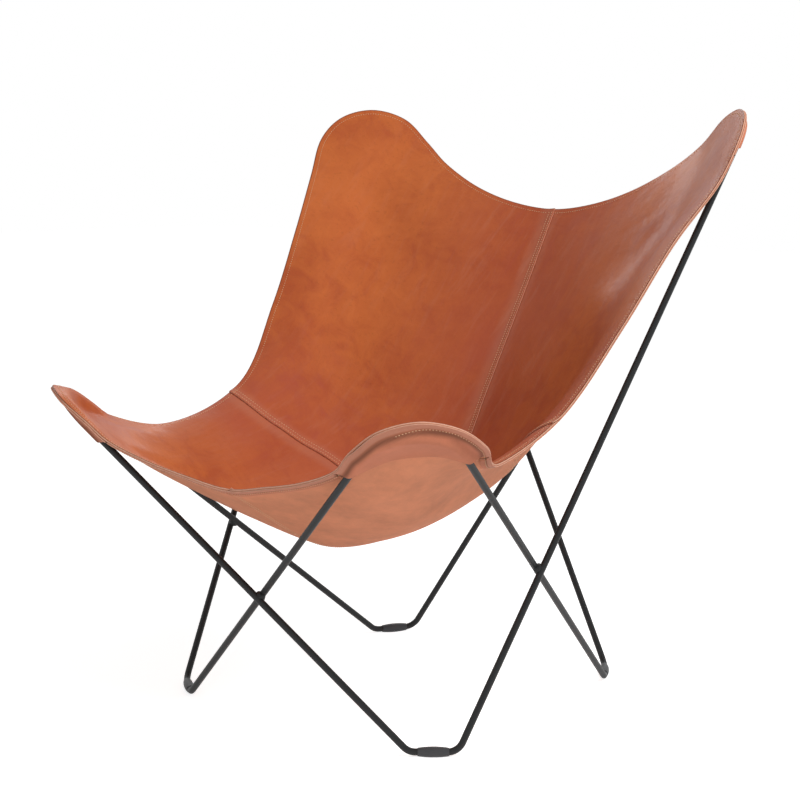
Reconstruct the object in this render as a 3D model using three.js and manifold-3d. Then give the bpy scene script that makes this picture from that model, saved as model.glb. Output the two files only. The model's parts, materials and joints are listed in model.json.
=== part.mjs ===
// Butterfly sling chair: two crossed loops of bent steel rod, with a leather sling hung on their four ears.
// Millimetres, +Z up, floor at zero, the front of the chair towards -Y and the sitter's left towards +X.
import * as THREE from 'three';
import { mergeVertices } from 'three/addons/utils/BufferGeometryUtils.js';
import Module from 'manifold-3d';

const wasm = await Module();
wasm.setup();

// Frame: each rod loop is a closed run of straight legs between four corners.
// The front ears and the rear feet are drawn in a little from these half spans, until the legs just touch.
const rodDiameter = 10;
const assemblyGap = 0.3;
const earBendRadius = 74;
const footBendRadius = 23.5;
const frontEarHalfSpan = 376.5;
const frontEarReach = 459.8;
const frontEarHeight = 558;
const backEarHalfSpan = 425;
const backEarReach = 447.7;
const backEarHeight = 1061;
const frontFootHalfSpan = 262;
const frontFootReach = 231.3;
const rearFootHalfSpan = 218;
const rearFootReach = 287.7;
const legMeetingDepth = 37;
const rodHeightAtFoot = 7;
const weldBeadRadius = 7.5;

// Glides: a spindle-shaped sleeve round the level stretch of each foot, cut flat at the floor.
const glideLength = 44;
const glideMiddleRadius = 7.6;
const glideEndRadius = 5.9;

// Leather sling: sizes of the centre line, the waist and the rim round each ear.
const leatherThickness = 3.5;
const topEdgeSetBack = 37.5;
const topEdgeDrop = 323;
const frontEdgeSetBack = 70;
const frontEdgeDrop = 188;
const seatDip = 118;
const waistInset = 90;
const backRimSideMargin = 31;
const backRimTipMargin = 12;
const frontRimSideMargin = 24;
const frontRimTipMargin = 20;
const rimShiftToSide = 9;
// How far the rim lies above the plane of its rod, from the side edge round the tip.
// The leather has settled a little differently on each ear.
const backLeftRimRises = [8, 8, 8, 10, 12];
const backRightRimRises = [12, 12, 12, 12, 12];
const frontLeftRimRises = [5, 6, 11, 11, 10];
const frontRightRimRises = [-6, -7, -7, 0, 6];
// How far each side edge drops at its front end.
const frontLeftSideDrop = -3;
const frontRightSideDrop = -13;
// The ridge where the leather rides over the rod of an ear.
const rodReliefWidth = 20;
const rodReliefRise = 1.3;
const rodReliefBlend = 2;

// Pockets and edge facings: the second layer of leather under the sling.
const pocketThickness = 2;
const pocketBulgeWidth = 22;
const pocketBulgeWidthAtRim = 12;
const layerGap = 0.9;
const backPocketAlongTop = 128;
const backPocketAlongSide = 140;
const frontPocketAlongFront = 158;
const frontPocketAlongSide = 152;
const facingWidth = 16;
const facingThickness = 1.8;

// Shares of the distances between ends, chosen by hand.
// Top edge, from the centre to the ear: across, back, up.
const topEdgeShares = [[0.28, -0.2, 0.09], [0.555, -0.1, 0.31], [0.815, 0.4, 0.65]];
// Front edge, from the centre to the ear: across, forward, up.
const frontEdgeShares = [[0.31, 0.2, 0.15], [0.6, 0.4, 0.34], [0.86, 0.68, 0.63]];
// Side edge, from the back ear to the front ear: forward, down, drawn in to the waist.
const sideEdgeShares = [
  [0.066, 0.156, 0.09],
  [0.188, 0.375, 0.38],
  [0.342, 0.68, 0.68],
  [0.53, 0.98, 1],
  [0.81, 1.11, 0.94],
];
// Centre line, from the top edge to the front edge: forward, down from the nearer edge to the lowest height.
const centreBackShares = [
  [0.0875, 0.228],
  [0.169, 0.432],
  [0.2425, 0.615],
  [0.309, 0.784],
  [0.396, 0.922],
  [0.54, 0.988],
];
const centreFrontShares = [[0.741, 0.95]];
// Cross seam: its place along the sling at the centre line, and how much further it lies at the side edge.
const crossSeamCentreShare = 0.57;
const crossSeamSideShare = 0.055;
const crossSeamRampShares = [0.35, 0.95];

// How finely the pieces are faceted.
const rodSides = 10;
const earBendSteps = 12;
const footSteps = 14;
const glideSides = 20;
const glideRings = 8;
const beadSides = 14;
// The panels have more columns and rows where the leather rides over the ears.
const panelColumnShares = [0, 0.1, 0.2, 0.3, 0.4, 0.5, 0.6, 0.68, 0.75, 0.81, 0.86, 0.91, 0.955, 1];
const backPanelRowShares = [
  0, 0.03, 0.06, 0.09, 0.125, 0.165, 0.21, 0.27, 0.34, 0.42, 0.5, 0.58, 0.66, 0.74, 0.82, 0.91, 1,
];
const seatPanelRowShares = [0, 0.11, 0.22, 0.33, 0.43, 0.52, 0.61, 0.69, 0.76, 0.82, 0.87, 0.915, 0.96, 1];
const panelColumns = panelColumnShares.length - 1;
const backPanelRows = backPanelRowShares.length - 1;
const seatPanelRows = seatPanelRowShares.length - 1;
const panelRows = backPanelRows + seatPanelRows;
const pocketColumns = 18;
const pocketRowShares = [0, 0.1, 0.2, 0.3, 0.42, 0.56, 0.76, 1];
const curveSamples = 400;
const curveStepsBetweenPoints = 24;
const normalStepShare = 1 / 64;
const rimAngles = [-66, -33, 0, 33, 66].map((degrees) => THREE.MathUtils.degToRad(degrees));

const left = 1;
const right = -1;
const rodRadius = rodDiameter / 2;
const halfGap = assemblyGap / 2;
const touching = rodDiameter + assemblyGap;
const topEdgeReach = backEarReach - topEdgeSetBack;
const topEdgeHeight = backEarHeight - topEdgeDrop;
const frontEdgeReach = frontEarReach - frontEdgeSetBack;
const frontEdgeHeight = frontEarHeight - frontEdgeDrop;
const seatLowestHeight = frontEdgeHeight - seatDip;
const waistHalfWidth = (backEarHalfSpan + frontEarHalfSpan) / 2 - waistInset;

// Two legs that lean the same way touch when their loops stand this far apart, front to back.
function spacingToTouch(run, rise) {
  return (touching * Math.hypot(run, rise)) / rise;
}

const loopShift = Math.max(
  spacingToTouch(frontEarReach - frontFootReach, frontEarHeight + legMeetingDepth),
  spacingToTouch(backEarReach - rearFootReach, backEarHeight + legMeetingDepth),
) / 2;

function powderCoat() {
  return new THREE.MeshStandardMaterial({ color: 0x26272a, roughness: 0.55, metalness: 0.3 });
}

function glidePlastic() {
  return new THREE.MeshStandardMaterial({ color: 0x3a3b3e, roughness: 0.6, metalness: 0 });
}

function tanLeather() {
  return new THREE.MeshStandardMaterial({ color: 0xb3592e, roughness: 0.5, metalness: 0 });
}

function undersideLeather() {
  return new THREE.MeshStandardMaterial({ color: 0xc07a58, roughness: 0.75, metalness: 0 });
}

function along(from, to) {
  return to.clone().sub(from).normalize();
}

// The four corners of a loop; its front ear is on the given side and its back ear on the other.
function loopCorners(frontEarSide, inset) {
  const y = frontEarSide * loopShift;
  const frontEarX = frontEarSide * (frontEarHalfSpan - inset);
  const rearFootX = frontEarSide * (rearFootHalfSpan - inset);
  return {
    frontEar: new THREE.Vector3(frontEarX, -frontEarReach + y, frontEarHeight),
    frontFoot: new THREE.Vector3(-frontEarSide * frontFootHalfSpan, -frontFootReach + y, -legMeetingDepth),
    backEar: new THREE.Vector3(-frontEarSide * backEarHalfSpan, backEarReach + y, backEarHeight),
    rearFoot: new THREE.Vector3(rearFootX, rearFootReach + y, -legMeetingDepth),
  };
}

// At each side the leg from a front ear passes inside the leg from a back ear.
// This is how far in the front ears and rear feet stand so that those legs just clear each other.
function insetToTouch(innerSide) {
  const inner = loopCorners(innerSide, 0);
  const outer = loopCorners(-innerSide, 0);
  const innerLine = along(inner.frontEar, inner.rearFoot);
  const outerLine = along(outer.backEar, outer.frontFoot);
  const outwards = innerLine.cross(outerLine).normalize();
  if (outwards.x * innerSide < 0) outwards.negate();
  const distance = outer.backEar.clone().sub(inner.frontEar).dot(outwards);
  return (touching - distance) / Math.abs(outwards.x);
}

const innerLegInset = Math.max(insetToTouch(left), insetToTouch(right));

// A bend of the given radius that rounds the corner between two straight stretches.
function bend(corner, before, after, radius) {
  const towardsBefore = along(corner, before);
  const towardsAfter = along(corner, after);
  const halfAngle = towardsBefore.angleTo(towardsAfter) / 2;
  const setBack = radius / Math.tan(halfAngle);
  const inwards = towardsBefore.clone().add(towardsAfter).normalize();
  return {
    centre: corner.clone().addScaledVector(inwards, radius / Math.sin(halfAngle)),
    start: corner.clone().addScaledVector(towardsBefore, setBack),
    end: corner.clone().addScaledVector(towardsAfter, setBack),
    tip: inwards.clone().negate(),
    towardsBefore,
    towardsAfter,
    sweep: Math.PI - 2 * halfAngle,
    radius,
  };
}

class BendCurve extends THREE.Curve {
  constructor(roundedCorner) {
    super();
    this.corner = roundedCorner;
    this.first = roundedCorner.start.clone().sub(roundedCorner.centre);
    this.tangent = roundedCorner.towardsBefore.clone().negate().multiplyScalar(roundedCorner.radius);
  }

  getPoint(share, target = new THREE.Vector3()) {
    const angle = share * this.corner.sweep;
    target.copy(this.corner.centre).addScaledVector(this.first, Math.cos(angle));
    return target.addScaledVector(this.tangent, Math.sin(angle));
  }
}

// The point where the line from a foot corner to an ear corner passes the height of the level stretch.
function legAtFootHeight(footCorner, earCorner) {
  const share = (rodHeightAtFoot - footCorner.z) / (earCorner.z - footCorner.z);
  return footCorner.clone().lerp(earCorner, share);
}

function footRun(footCorner, firstEar, secondEar) {
  const first = legAtFootHeight(footCorner, firstEar);
  const second = legAtFootHeight(footCorner, secondEar);
  const firstBend = bend(first, firstEar, second, footBendRadius);
  const secondBend = bend(second, first, secondEar, footBendRadius);
  return { firstBend, secondBend, middle: first.clone().lerp(second, 0.5), direction: along(first, second) };
}

function loopRuns(frontEarSide) {
  const corners = loopCorners(frontEarSide, innerLegInset);
  return {
    frontEar: bend(corners.frontEar, corners.frontFoot, corners.rearFoot, earBendRadius),
    backEar: bend(corners.backEar, corners.rearFoot, corners.frontFoot, earBendRadius),
    frontFoot: footRun(corners.frontFoot, corners.frontEar, corners.backEar),
    rearFoot: footRun(corners.rearFoot, corners.backEar, corners.frontEar),
  };
}

const loops = { a: loopRuns(right), b: loopRuns(left) };

function rodAlong(path, steps, radius = rodRadius) {
  const section = new THREE.Shape().absarc(0, 0, radius, 0, 2 * Math.PI);
  return new THREE.ExtrudeGeometry(section, { steps, curveSegments: rodSides / 2, extrudePath: path });
}

function straightRod(from, to, radius = rodRadius, endGap = halfGap) {
  const direction = along(from, to);
  const start = from.clone().addScaledVector(direction, endGap);
  const end = to.clone().addScaledVector(direction, -endGap);
  return rodAlong(new THREE.LineCurve3(start, end), 1, radius);
}

function earRod(roundedCorner) {
  return rodAlong(new BendCurve(roundedCorner), earBendSteps);
}

function footPath(run) {
  const path = new THREE.CurvePath();
  path.add(new BendCurve(run.firstBend));
  path.add(new THREE.LineCurve3(run.firstBend.end, run.secondBend.start));
  path.add(new BendCurve(run.secondBend));
  return path;
}

// Closed solids for joining and cutting.
function toSolid(geometry) {
  const bare = geometry.clone();
  bare.deleteAttribute('normal');
  bare.deleteAttribute('uv');
  const merged = mergeVertices(bare);
  return new wasm.Manifold(new wasm.Mesh({
    numProp: 3,
    vertProperties: new Float32Array(merged.attributes.position.array),
    triVerts: new Uint32Array(merged.index.array),
  }));
}

function toGeometry(solid) {
  const mesh = solid.getMesh();
  const geometry = new THREE.BufferGeometry();
  geometry.setAttribute('position', new THREE.BufferAttribute(new Float32Array(mesh.vertProperties), 3));
  geometry.setIndex(new THREE.BufferAttribute(new Uint32Array(mesh.triVerts), 1));
  return geometry;
}

// Spindle sleeve on the level stretch of a foot, bored for the rod and cut flat at the floor.
function glide(run) {
  const bore = rodRadius + assemblyGap;
  const profile = [];
  for (let ring = 0; ring <= glideRings; ring += 1) {
    const share = (2 * ring) / glideRings - 1;
    const radius = glideMiddleRadius - (glideMiddleRadius - glideEndRadius) * share * share;
    profile.push(new THREE.Vector2(radius, (share * glideLength) / 2));
  }
  profile.push(new THREE.Vector2(bore, glideLength / 2));
  profile.push(new THREE.Vector2(bore, -glideLength / 2));
  profile.push(profile[0].clone());
  const sleeve = new THREE.LatheGeometry(profile, glideSides);
  const turn = new THREE.Quaternion().setFromUnitVectors(new THREE.Vector3(0, 1, 0), run.direction);
  sleeve.applyQuaternion(turn);
  sleeve.translate(run.middle.x, run.middle.y, run.middle.z);
  const below = new THREE.BoxGeometry(2 * glideLength, 2 * glideLength, glideLength);
  below.translate(run.middle.x, run.middle.y, -glideLength / 2);
  return toGeometry(toSolid(sleeve).subtract(toSolid(below)));
}

// Where two legs pass each other: the middle of the shortest line between them.
function crossing(firstLeg, secondLeg) {
  const u = along(...firstLeg);
  const v = along(...secondLeg);
  const between = secondLeg[0].clone().sub(firstLeg[0]);
  const cosine = u.dot(v);
  const alongFirst = (between.dot(u) - cosine * between.dot(v)) / (1 - cosine * cosine);
  const alongSecond = (cosine * between.dot(u) - between.dot(v)) / (1 - cosine * cosine);
  const onFirst = firstLeg[0].clone().addScaledVector(u, alongFirst);
  const onSecond = secondLeg[0].clone().addScaledVector(v, alongSecond);
  return onFirst.lerp(onSecond, 0.5);
}

// Weld bead filling the crotches of a crossing, clear of both rods.
function weldBead(firstLeg, secondLeg) {
  const middle = crossing(firstLeg, secondLeg);
  const bead = new THREE.SphereGeometry(weldBeadRadius, beadSides, beadSides / 2);
  bead.translate(middle.x, middle.y, middle.z);
  let solid = toSolid(bead);
  for (const leg of [firstLeg, secondLeg]) {
    const direction = along(...leg);
    const from = middle.clone().addScaledVector(direction, -2 * weldBeadRadius);
    const nearest = new THREE.Line3(...leg).closestPointToPoint(from, false, new THREE.Vector3());
    const to = nearest.clone().addScaledVector(direction, 4 * weldBeadRadius);
    solid = solid.subtract(toSolid(straightRod(nearest, to, rodRadius + assemblyGap)));
  }
  return toGeometry(solid);
}

// Smooth curve through points, as a dense run of points evenly spaced along its length.
function smoothRun(points, mirrorEnds) {
  const mirrored = (p) => new THREE.Vector3(-p.x, p.y, p.z);
  const beyond = (end, next) => (mirrorEnds ? mirrored(next) : end.clone().multiplyScalar(2).sub(next));
  const last = points.length - 1;
  const all = [beyond(points[0], points[1]), ...points, beyond(points[last], points[last - 1])];
  const run = [];
  for (let piece = 0; piece < last; piece += 1) {
    const [a, b, c, d] = all.slice(piece, piece + 4);
    for (let step = 0; step < curveStepsBetweenPoints; step += 1) {
      const t = step / curveStepsBetweenPoints;
      const blend = (key) => 0.5 * (2 * b[key] + (c[key] - a[key]) * t
        + (2 * a[key] - 5 * b[key] + 4 * c[key] - d[key]) * t * t
        + (3 * b[key] - a[key] - 3 * c[key] + d[key]) * t * t * t);
      run.push(new THREE.Vector3(blend('x'), blend('y'), blend('z')));
    }
  }
  run.push(points[last].clone());
  return run;
}

// A curve that can be asked for the point at any share of its length.
function byLength(run) {
  const lengths = [0];
  for (let index = 1; index < run.length; index += 1) {
    lengths.push(lengths[index - 1] + run[index].distanceTo(run[index - 1]));
  }
  const total = lengths[lengths.length - 1];
  const table = [];
  let index = 1;
  for (let sample = 0; sample <= curveSamples; sample += 1) {
    const wanted = (total * sample) / curveSamples;
    while (index < run.length - 1 && lengths[index] < wanted) index += 1;
    const share = (wanted - lengths[index - 1]) / (lengths[index] - lengths[index - 1]);
    table.push(run[index - 1].clone().lerp(run[index], Math.min(share, 1)));
  }
  const at = (share) => {
    const place = THREE.MathUtils.clamp(share, 0, 1) * curveSamples;
    const before = Math.min(Math.floor(place), curveSamples - 1);
    return table[before].clone().lerp(table[before + 1], place - before);
  };
  return { at, total };
}

// An ear as the sling sees it: its bend, the direction of its tip, of the chair's side and of the sitter.
function earFrame(roundedCorner, sideLegIsFirst) {
  const sideEnd = sideLegIsFirst ? roundedCorner.start : roundedCorner.end;
  const otherEnd = sideLegIsFirst ? roundedCorner.end : roundedCorner.start;
  const toSide = along(otherEnd, sideEnd);
  const normal = roundedCorner.tip.clone().cross(toSide).normalize();
  if (normal.z < 0) normal.negate();
  return { ...roundedCorner, toSide, normal };
}

// Rim of the sling round an ear, from the side edge's end to the other end.
function earRim(ear, sideMargin, tipMargin, rises) {
  const radius = earBendRadius + sideMargin;
  return rimAngles.map((angle, index) => ear.centre.clone()
    .addScaledVector(ear.tip, radius * Math.cos(angle) + tipMargin - sideMargin)
    .addScaledVector(ear.toSide, -radius * Math.sin(angle) + rimShiftToSide)
    .addScaledVector(ear.normal, rises[index]));
}

function mix(from, to, share) {
  return from + (to - from) * share;
}

// One half of the sling: its ears, its edges and the surface between them, asked for by shares.
function slingHalf(side) {
  const frontLoop = side === right ? loops.a : loops.b;
  const backLoop = side === right ? loops.b : loops.a;
  const frontEar = earFrame(frontLoop.frontEar, false);
  const backEar = earFrame(backLoop.backEar, false);
  const backRises = side === right ? backRightRimRises : backLeftRimRises;
  const frontRises = side === right ? frontRightRimRises : frontLeftRimRises;
  const frontDrop = side === right ? frontRightSideDrop : frontLeftSideDrop;
  const backRim = earRim(backEar, backRimSideMargin, backRimTipMargin, backRises).reverse();
  const frontRim = earRim(frontEar, frontRimSideMargin, frontRimTipMargin, frontRises);
  const topMiddle = new THREE.Vector3(side * halfGap, topEdgeReach, topEdgeHeight);
  const frontMiddle = new THREE.Vector3(side * halfGap, -frontEdgeReach, frontEdgeHeight);
  const between = (from, to, shares) => new THREE.Vector3(
    mix(from.x, to.x, shares[0]),
    mix(from.y, to.y, shares[1]),
    mix(from.z, to.z, shares[2]),
  );
  const topPoints = topEdgeShares.map((shares) => between(topMiddle, backRim[0], shares));
  const frontPoints = frontEdgeShares.map((shares) => between(frontMiddle, frontRim[4], shares)).reverse();
  const sidePoints = sideEdgeShares.map(([forward, down, drawnIn]) => {
    const point = between(backRim[4], frontRim[0], [forward, forward, down]);
    point.x = mix(point.x, side * waistHalfWidth, drawnIn);
    point.z -= frontDrop * forward * forward;
    return point;
  });
  const backPoints = [topMiddle, ...topPoints, ...backRim];
  const rimPoints = [...backPoints, ...sidePoints, ...frontRim, ...frontPoints, frontMiddle];
  const rim = smoothRun(rimPoints, true);
  const backTip = rimPoints.indexOf(backRim[2]) * curveStepsBetweenPoints;
  const frontTip = rimPoints.indexOf(frontRim[2]) * curveStepsBetweenPoints;
  const centrePoint = (edge) => ([forward, down]) => new THREE.Vector3(
    side * halfGap,
    mix(topEdgeReach, -frontEdgeReach, forward),
    mix(edge, seatLowestHeight, down),
  );
  const centre = byLength(smoothRun([
    topMiddle,
    ...centreBackShares.map(centrePoint(topEdgeHeight)),
    ...centreFrontShares.map(centrePoint(frontEdgeHeight)),
    frontMiddle,
  ], false));
  return {
    side,
    backEar,
    frontEar,
    centre,
    top: byLength(rim.slice(0, backTip + 1)),
    edge: byLength(rim.slice(backTip, frontTip + 1)),
    front: byLength(rim.slice(frontTip).reverse()),
  };
}

// Distance from the centre line of an ear's rod, in the ear's own plane; negative inside the ear.
function distancePastEarRod(ear, inPlane) {
  const onStartSide = inPlane.distanceTo(ear.start) < inPlane.distanceTo(ear.end);
  const bendEnd = onStartSide ? ear.start : ear.end;
  const fromBendEnd = inPlane.clone().sub(bendEnd);
  const alongLeg = fromBendEnd.dot(onStartSide ? ear.towardsBefore : ear.towardsAfter);
  if (alongLeg > 0) return fromBendEnd.dot(along(ear.centre, bendEnd));
  return inPlane.distanceTo(ear.centre) - ear.radius;
}

function heightOverEar(ear, point) {
  return point.clone().sub(ear.centre).dot(ear.normal);
}

function smoothLarger(a, b) {
  return (a + b + Math.hypot(a - b, rodReliefBlend)) / 2;
}

// Lifts a point of the sling so that the leather rides over the rod of an ear.
function rideOverRod(ear, point) {
  const height = heightOverEar(ear, point);
  const inPlane = point.clone().addScaledVector(ear.normal, -height);
  const clear = rodRadius + assemblyGap + rodReliefRise + leatherThickness / 2;
  const needed = clear * (1 - (distancePastEarRod(ear, inPlane) / rodReliefWidth) ** 2);
  return point.addScaledVector(ear.normal, smoothLarger(height, needed) - height);
}

// Middle of the leather at shares across (centre to side) and along (top to front).
function slingPoint(half, across, alongShare) {
  const point = half.centre.at(alongShare).multiplyScalar(1 - across)
    .addScaledVector(half.edge.at(alongShare), across)
    .addScaledVector(half.top.at(across), 1 - alongShare)
    .addScaledVector(half.front.at(across), alongShare)
    .addScaledVector(half.top.at(0), -(1 - across) * (1 - alongShare))
    .addScaledVector(half.front.at(0), -(1 - across) * alongShare)
    .addScaledVector(half.top.at(1), -across * (1 - alongShare))
    .addScaledVector(half.front.at(1), -across * alongShare);
  return rideOverRod(half.frontEar, rideOverRod(half.backEar, point));
}

// Direction of the leather's upper face, from points a small share away.
function slingNormal(half, across, alongShare) {
  const small = normalStepShare;
  const u = THREE.MathUtils.clamp(across, small, 1 - small);
  const v = THREE.MathUtils.clamp(alongShare, small, 1 - small);
  const acrossLine = slingPoint(half, u + small, v).sub(slingPoint(half, u - small, v));
  const alongLine = slingPoint(half, u, v + small).sub(slingPoint(half, u, v - small));
  const normal = acrossLine.cross(alongLine).multiplyScalar(-half.side);
  if (across === 0) normal.x = 0;
  return normal.normalize();
}

function crossSeamAt(across) {
  const ramp = THREE.MathUtils.smootherstep(across, ...crossSeamRampShares);
  return crossSeamCentreShare + crossSeamSideShare * ramp;
}

// Closed sheet between two grids of points of the same size.
function closedSheet(upper, lower, flip) {
  const rows = upper.length;
  const columns = upper[0].length;
  const positions = [];
  for (const grid of [upper, lower]) {
    for (const row of grid) {
      for (const point of row) positions.push(point.x, point.y, point.z);
    }
  }
  const id = (layer, row, column) => layer * rows * columns + row * columns + column;
  const triangles = [];
  const quad = (a, b, c, d) => {
    if (flip) triangles.push(a, c, b, a, d, c);
    else triangles.push(a, b, c, a, c, d);
  };
  for (let row = 0; row < rows - 1; row += 1) {
    for (let column = 0; column < columns - 1; column += 1) {
      quad(id(0, row, column), id(0, row, column + 1), id(0, row + 1, column + 1), id(0, row + 1, column));
      quad(id(1, row, column), id(1, row + 1, column), id(1, row + 1, column + 1), id(1, row, column + 1));
    }
  }
  const border = [];
  for (let column = 0; column < columns - 1; column += 1) border.push([0, column]);
  for (let row = 0; row < rows - 1; row += 1) border.push([row, columns - 1]);
  for (let column = columns - 1; column > 0; column -= 1) border.push([rows - 1, column]);
  for (let row = rows - 1; row > 0; row -= 1) border.push([row, 0]);
  border.forEach(([row, column], index) => {
    const [nextRow, nextColumn] = border[(index + 1) % border.length];
    quad(id(1, row, column), id(1, nextRow, nextColumn), id(0, nextRow, nextColumn), id(0, row, column));
  });
  const geometry = new THREE.BufferGeometry();
  geometry.setAttribute('position', new THREE.BufferAttribute(new Float32Array(positions), 3));
  geometry.setIndex(triangles);
  return dropThinTriangles(mergeVertices(geometry));
}

// Triangles whose corners fell together are left out.
function dropThinTriangles(geometry) {
  const kept = [];
  const index = geometry.index.array;
  for (let start = 0; start < index.length; start += 3) {
    const [a, b, c] = index.slice(start, start + 3);
    if (a !== b && b !== c && c !== a) kept.push(a, b, c);
  }
  geometry.setIndex(kept);
  return geometry;
}

function evenShares(count) {
  return Array.from({ length: count + 1 }, (_, index) => index / count);
}

// Where the facet rows of each panel lie along the sling, at a place across it.
function backPanelShares(half, across) {
  const end = crossSeamAt(across) - halfGap / half.centre.total;
  return backPanelRowShares.map((share) => share * end);
}

function seatPanelShares(half, across) {
  const start = crossSeamAt(across) + halfGap / half.centre.total;
  return seatPanelRowShares.map((share) => mix(start, 1, share));
}

// A point of the sling moved off its middle, towards the sitter when the offset is positive.
function offMiddle(half, across, alongShare, offset) {
  return slingPoint(half, across, alongShare).addScaledVector(slingNormal(half, across, alongShare), offset);
}

// A panel of the main leather, from one seam or edge to the next.
function panel(half, sharesAt) {
  const rowsOf = panelColumnShares.map((across) => sharesAt(half, across));
  const layer = (offset) => rowsOf[0].map((_, row) => (
    panelColumnShares.map((across, column) => offMiddle(half, across, rowsOf[column][row], offset))
  ));
  return closedSheet(layer(leatherThickness / 2), layer(-leatherThickness / 2), half.side === left);
}

// A facet corner of the panels, offset downwards; the seat panel's rows follow the back panel's.
function facetCorner(half, row, column, depth) {
  const across = panelColumnShares[column];
  const shares = [...backPanelShares(half, across), ...seatPanelShares(half, across).slice(1)];
  return offMiddle(half, across, shares[row], -depth);
}

// A point under the facets of the panels, at a place counted in rows and columns.
function underFacet(half, rowPlace, columnPlace, depth) {
  const row = Math.min(Math.floor(rowPlace), panelRows - 1);
  const column = Math.min(Math.floor(columnPlace), panelColumns - 1);
  const corner = (down, over) => facetCorner(half, row + down, column + over, depth);
  const above = corner(0, 0).lerp(corner(0, 1), columnPlace - column);
  const below = corner(1, 0).lerp(corner(1, 1), columnPlace - column);
  return above.lerp(below, rowPlace - row);
}

// Pocket under an ear: it lies against the sling's underside at the rim and at its mouth,
// and passes round the far side of the rod between them.
function pocketPoint(half, ear, across, alongShare, offset) {
  const point = slingPoint(half, across, alongShare);
  const height = heightOverEar(ear, point);
  const inPlane = point.clone().addScaledVector(ear.normal, -height);
  const pastRod = distancePastEarRod(ear, inPlane);
  const layers = leatherThickness / 2 + pocketThickness / 2 + 2 * layerGap;
  const clear = rodRadius + layerGap + pocketThickness / 2;
  const width = pastRod > 0 ? pocketBulgeWidthAtRim : pocketBulgeWidth;
  const needed = clear * (1 - (pastRod / width) ** 2);
  const pocketHeight = -smoothLarger(-(height - layers), needed);
  return inPlane.addScaledVector(ear.normal, pocketHeight + offset);
}

function pocket(half, ear, placeAt) {
  const layer = (offset) => pocketRowShares.map((inwards) => (
    evenShares(pocketColumns).map((round) => {
      const [across, alongShare] = placeAt(inwards, round);
      return pocketPoint(half, ear, across, alongShare, offset);
    })
  ));
  return (flip) => closedSheet(layer(pocketThickness / 2), layer(-pocketThickness / 2), flip);
}

// Shares of a pocket's grid: its outer row follows the rim round the tip, its inner row is the mouth.
function pocketPlace(alongCurve, alongSide) {
  return (inwards, round) => {
    const rim = round < 0.5 ? [alongCurve * (1 - 2 * round), 0] : [0, alongSide * (2 * round - 1)];
    const mouth = [alongCurve * (1 - round), alongSide * round];
    return [mix(rim[0], mouth[0], inwards), mix(rim[1], mouth[1], inwards)];
  };
}

function backPocket(half) {
  const place = pocketPlace(backPocketAlongTop / half.top.total, backPocketAlongSide / half.edge.total);
  const placeAt = (inwards, round) => {
    const [fromTip, down] = place(inwards, round);
    return [1 - fromTip, down];
  };
  return pocket(half, half.backEar, placeAt)(half.side === left);
}

function frontPocket(half) {
  const place = pocketPlace(frontPocketAlongFront / half.front.total, frontPocketAlongSide / half.edge.total);
  const placeAt = (inwards, round) => {
    const [fromTip, up] = place(inwards, round);
    return [1 - fromTip, 1 - up];
  };
  return pocket(half, half.frontEar, placeAt)(half.side === right);
}

// Facing: a narrow strip sewn under a free edge, its facets in line with the panels'.
// Its places are pairs of row and column on the edge, each with the next facet corner inwards.
function facing(half, places, flip) {
  const upperDepth = leatherThickness / 2 + layerGap;
  const lowerDepth = upperDepth + facingThickness;
  const layer = (depth) => {
    const outer = places.map(([edge]) => underFacet(half, ...edge, depth));
    const inner = places.map(([edge, inwards], index) => {
      const next = underFacet(half, ...inwards, depth);
      const reach = outer[index].distanceTo(next);
      return outer[index].clone().lerp(next, facingWidth / reach);
    });
    return [outer, inner];
  };
  return closedSheet(layer(upperDepth), layer(lowerDepth), flip);
}

// Whole places between two ends, with the ends themselves.
function placesBetween(start, end) {
  const places = [start];
  for (let place = Math.floor(start) + 1; place < end; place += 1) places.push(place);
  return [...places, end];
}

// The place of a share in a rising list of shares, counted in steps and parts of a step.
function placeIn(shares, share) {
  const next = shares.findIndex((value) => value >= share);
  if (next <= 0) return 0;
  return next - (shares[next] - share) / (shares[next] - shares[next - 1]);
}

function topFacing(half) {
  const end = placeIn(panelColumnShares, 1 - (backPocketAlongTop + layerGap) / half.top.total);
  const places = placesBetween(0, end).map((column) => [[0, column], [1, column]]);
  return facing(half, places, half.side === left);
}

function frontFacing(half) {
  const end = placeIn(panelColumnShares, 1 - (frontPocketAlongFront + layerGap) / half.front.total);
  const places = placesBetween(0, end).map((column) => [[panelRows, column], [panelRows - 1, column]]);
  return facing(half, places, half.side === right);
}

// The place in rows of a length along the side edge.
function rowAtLength(half, length) {
  const share = length / half.edge.total;
  const seam = crossSeamAt(1);
  if (share < seam) return placeIn(backPanelRowShares, share / seam);
  return backPanelRows + placeIn(seatPanelRowShares, (share - seam) / (1 - seam));
}

function sideFacing(half) {
  const start = rowAtLength(half, backPocketAlongSide + layerGap);
  const end = rowAtLength(half, half.edge.total - frontPocketAlongSide - layerGap);
  const places = placesBetween(start, end).map((row) => [[row, panelColumns], [row, panelColumns - 1]]);
  return facing(half, places, half.side === left);
}

const chair = new THREE.Group();

function place(name, geometry, material) {
  const mesh = new THREE.Mesh(geometry, material);
  mesh.name = name;
  chair.add(mesh);
}

const sideNames = new Map([[left, 'left'], [right, 'right']]);

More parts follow.
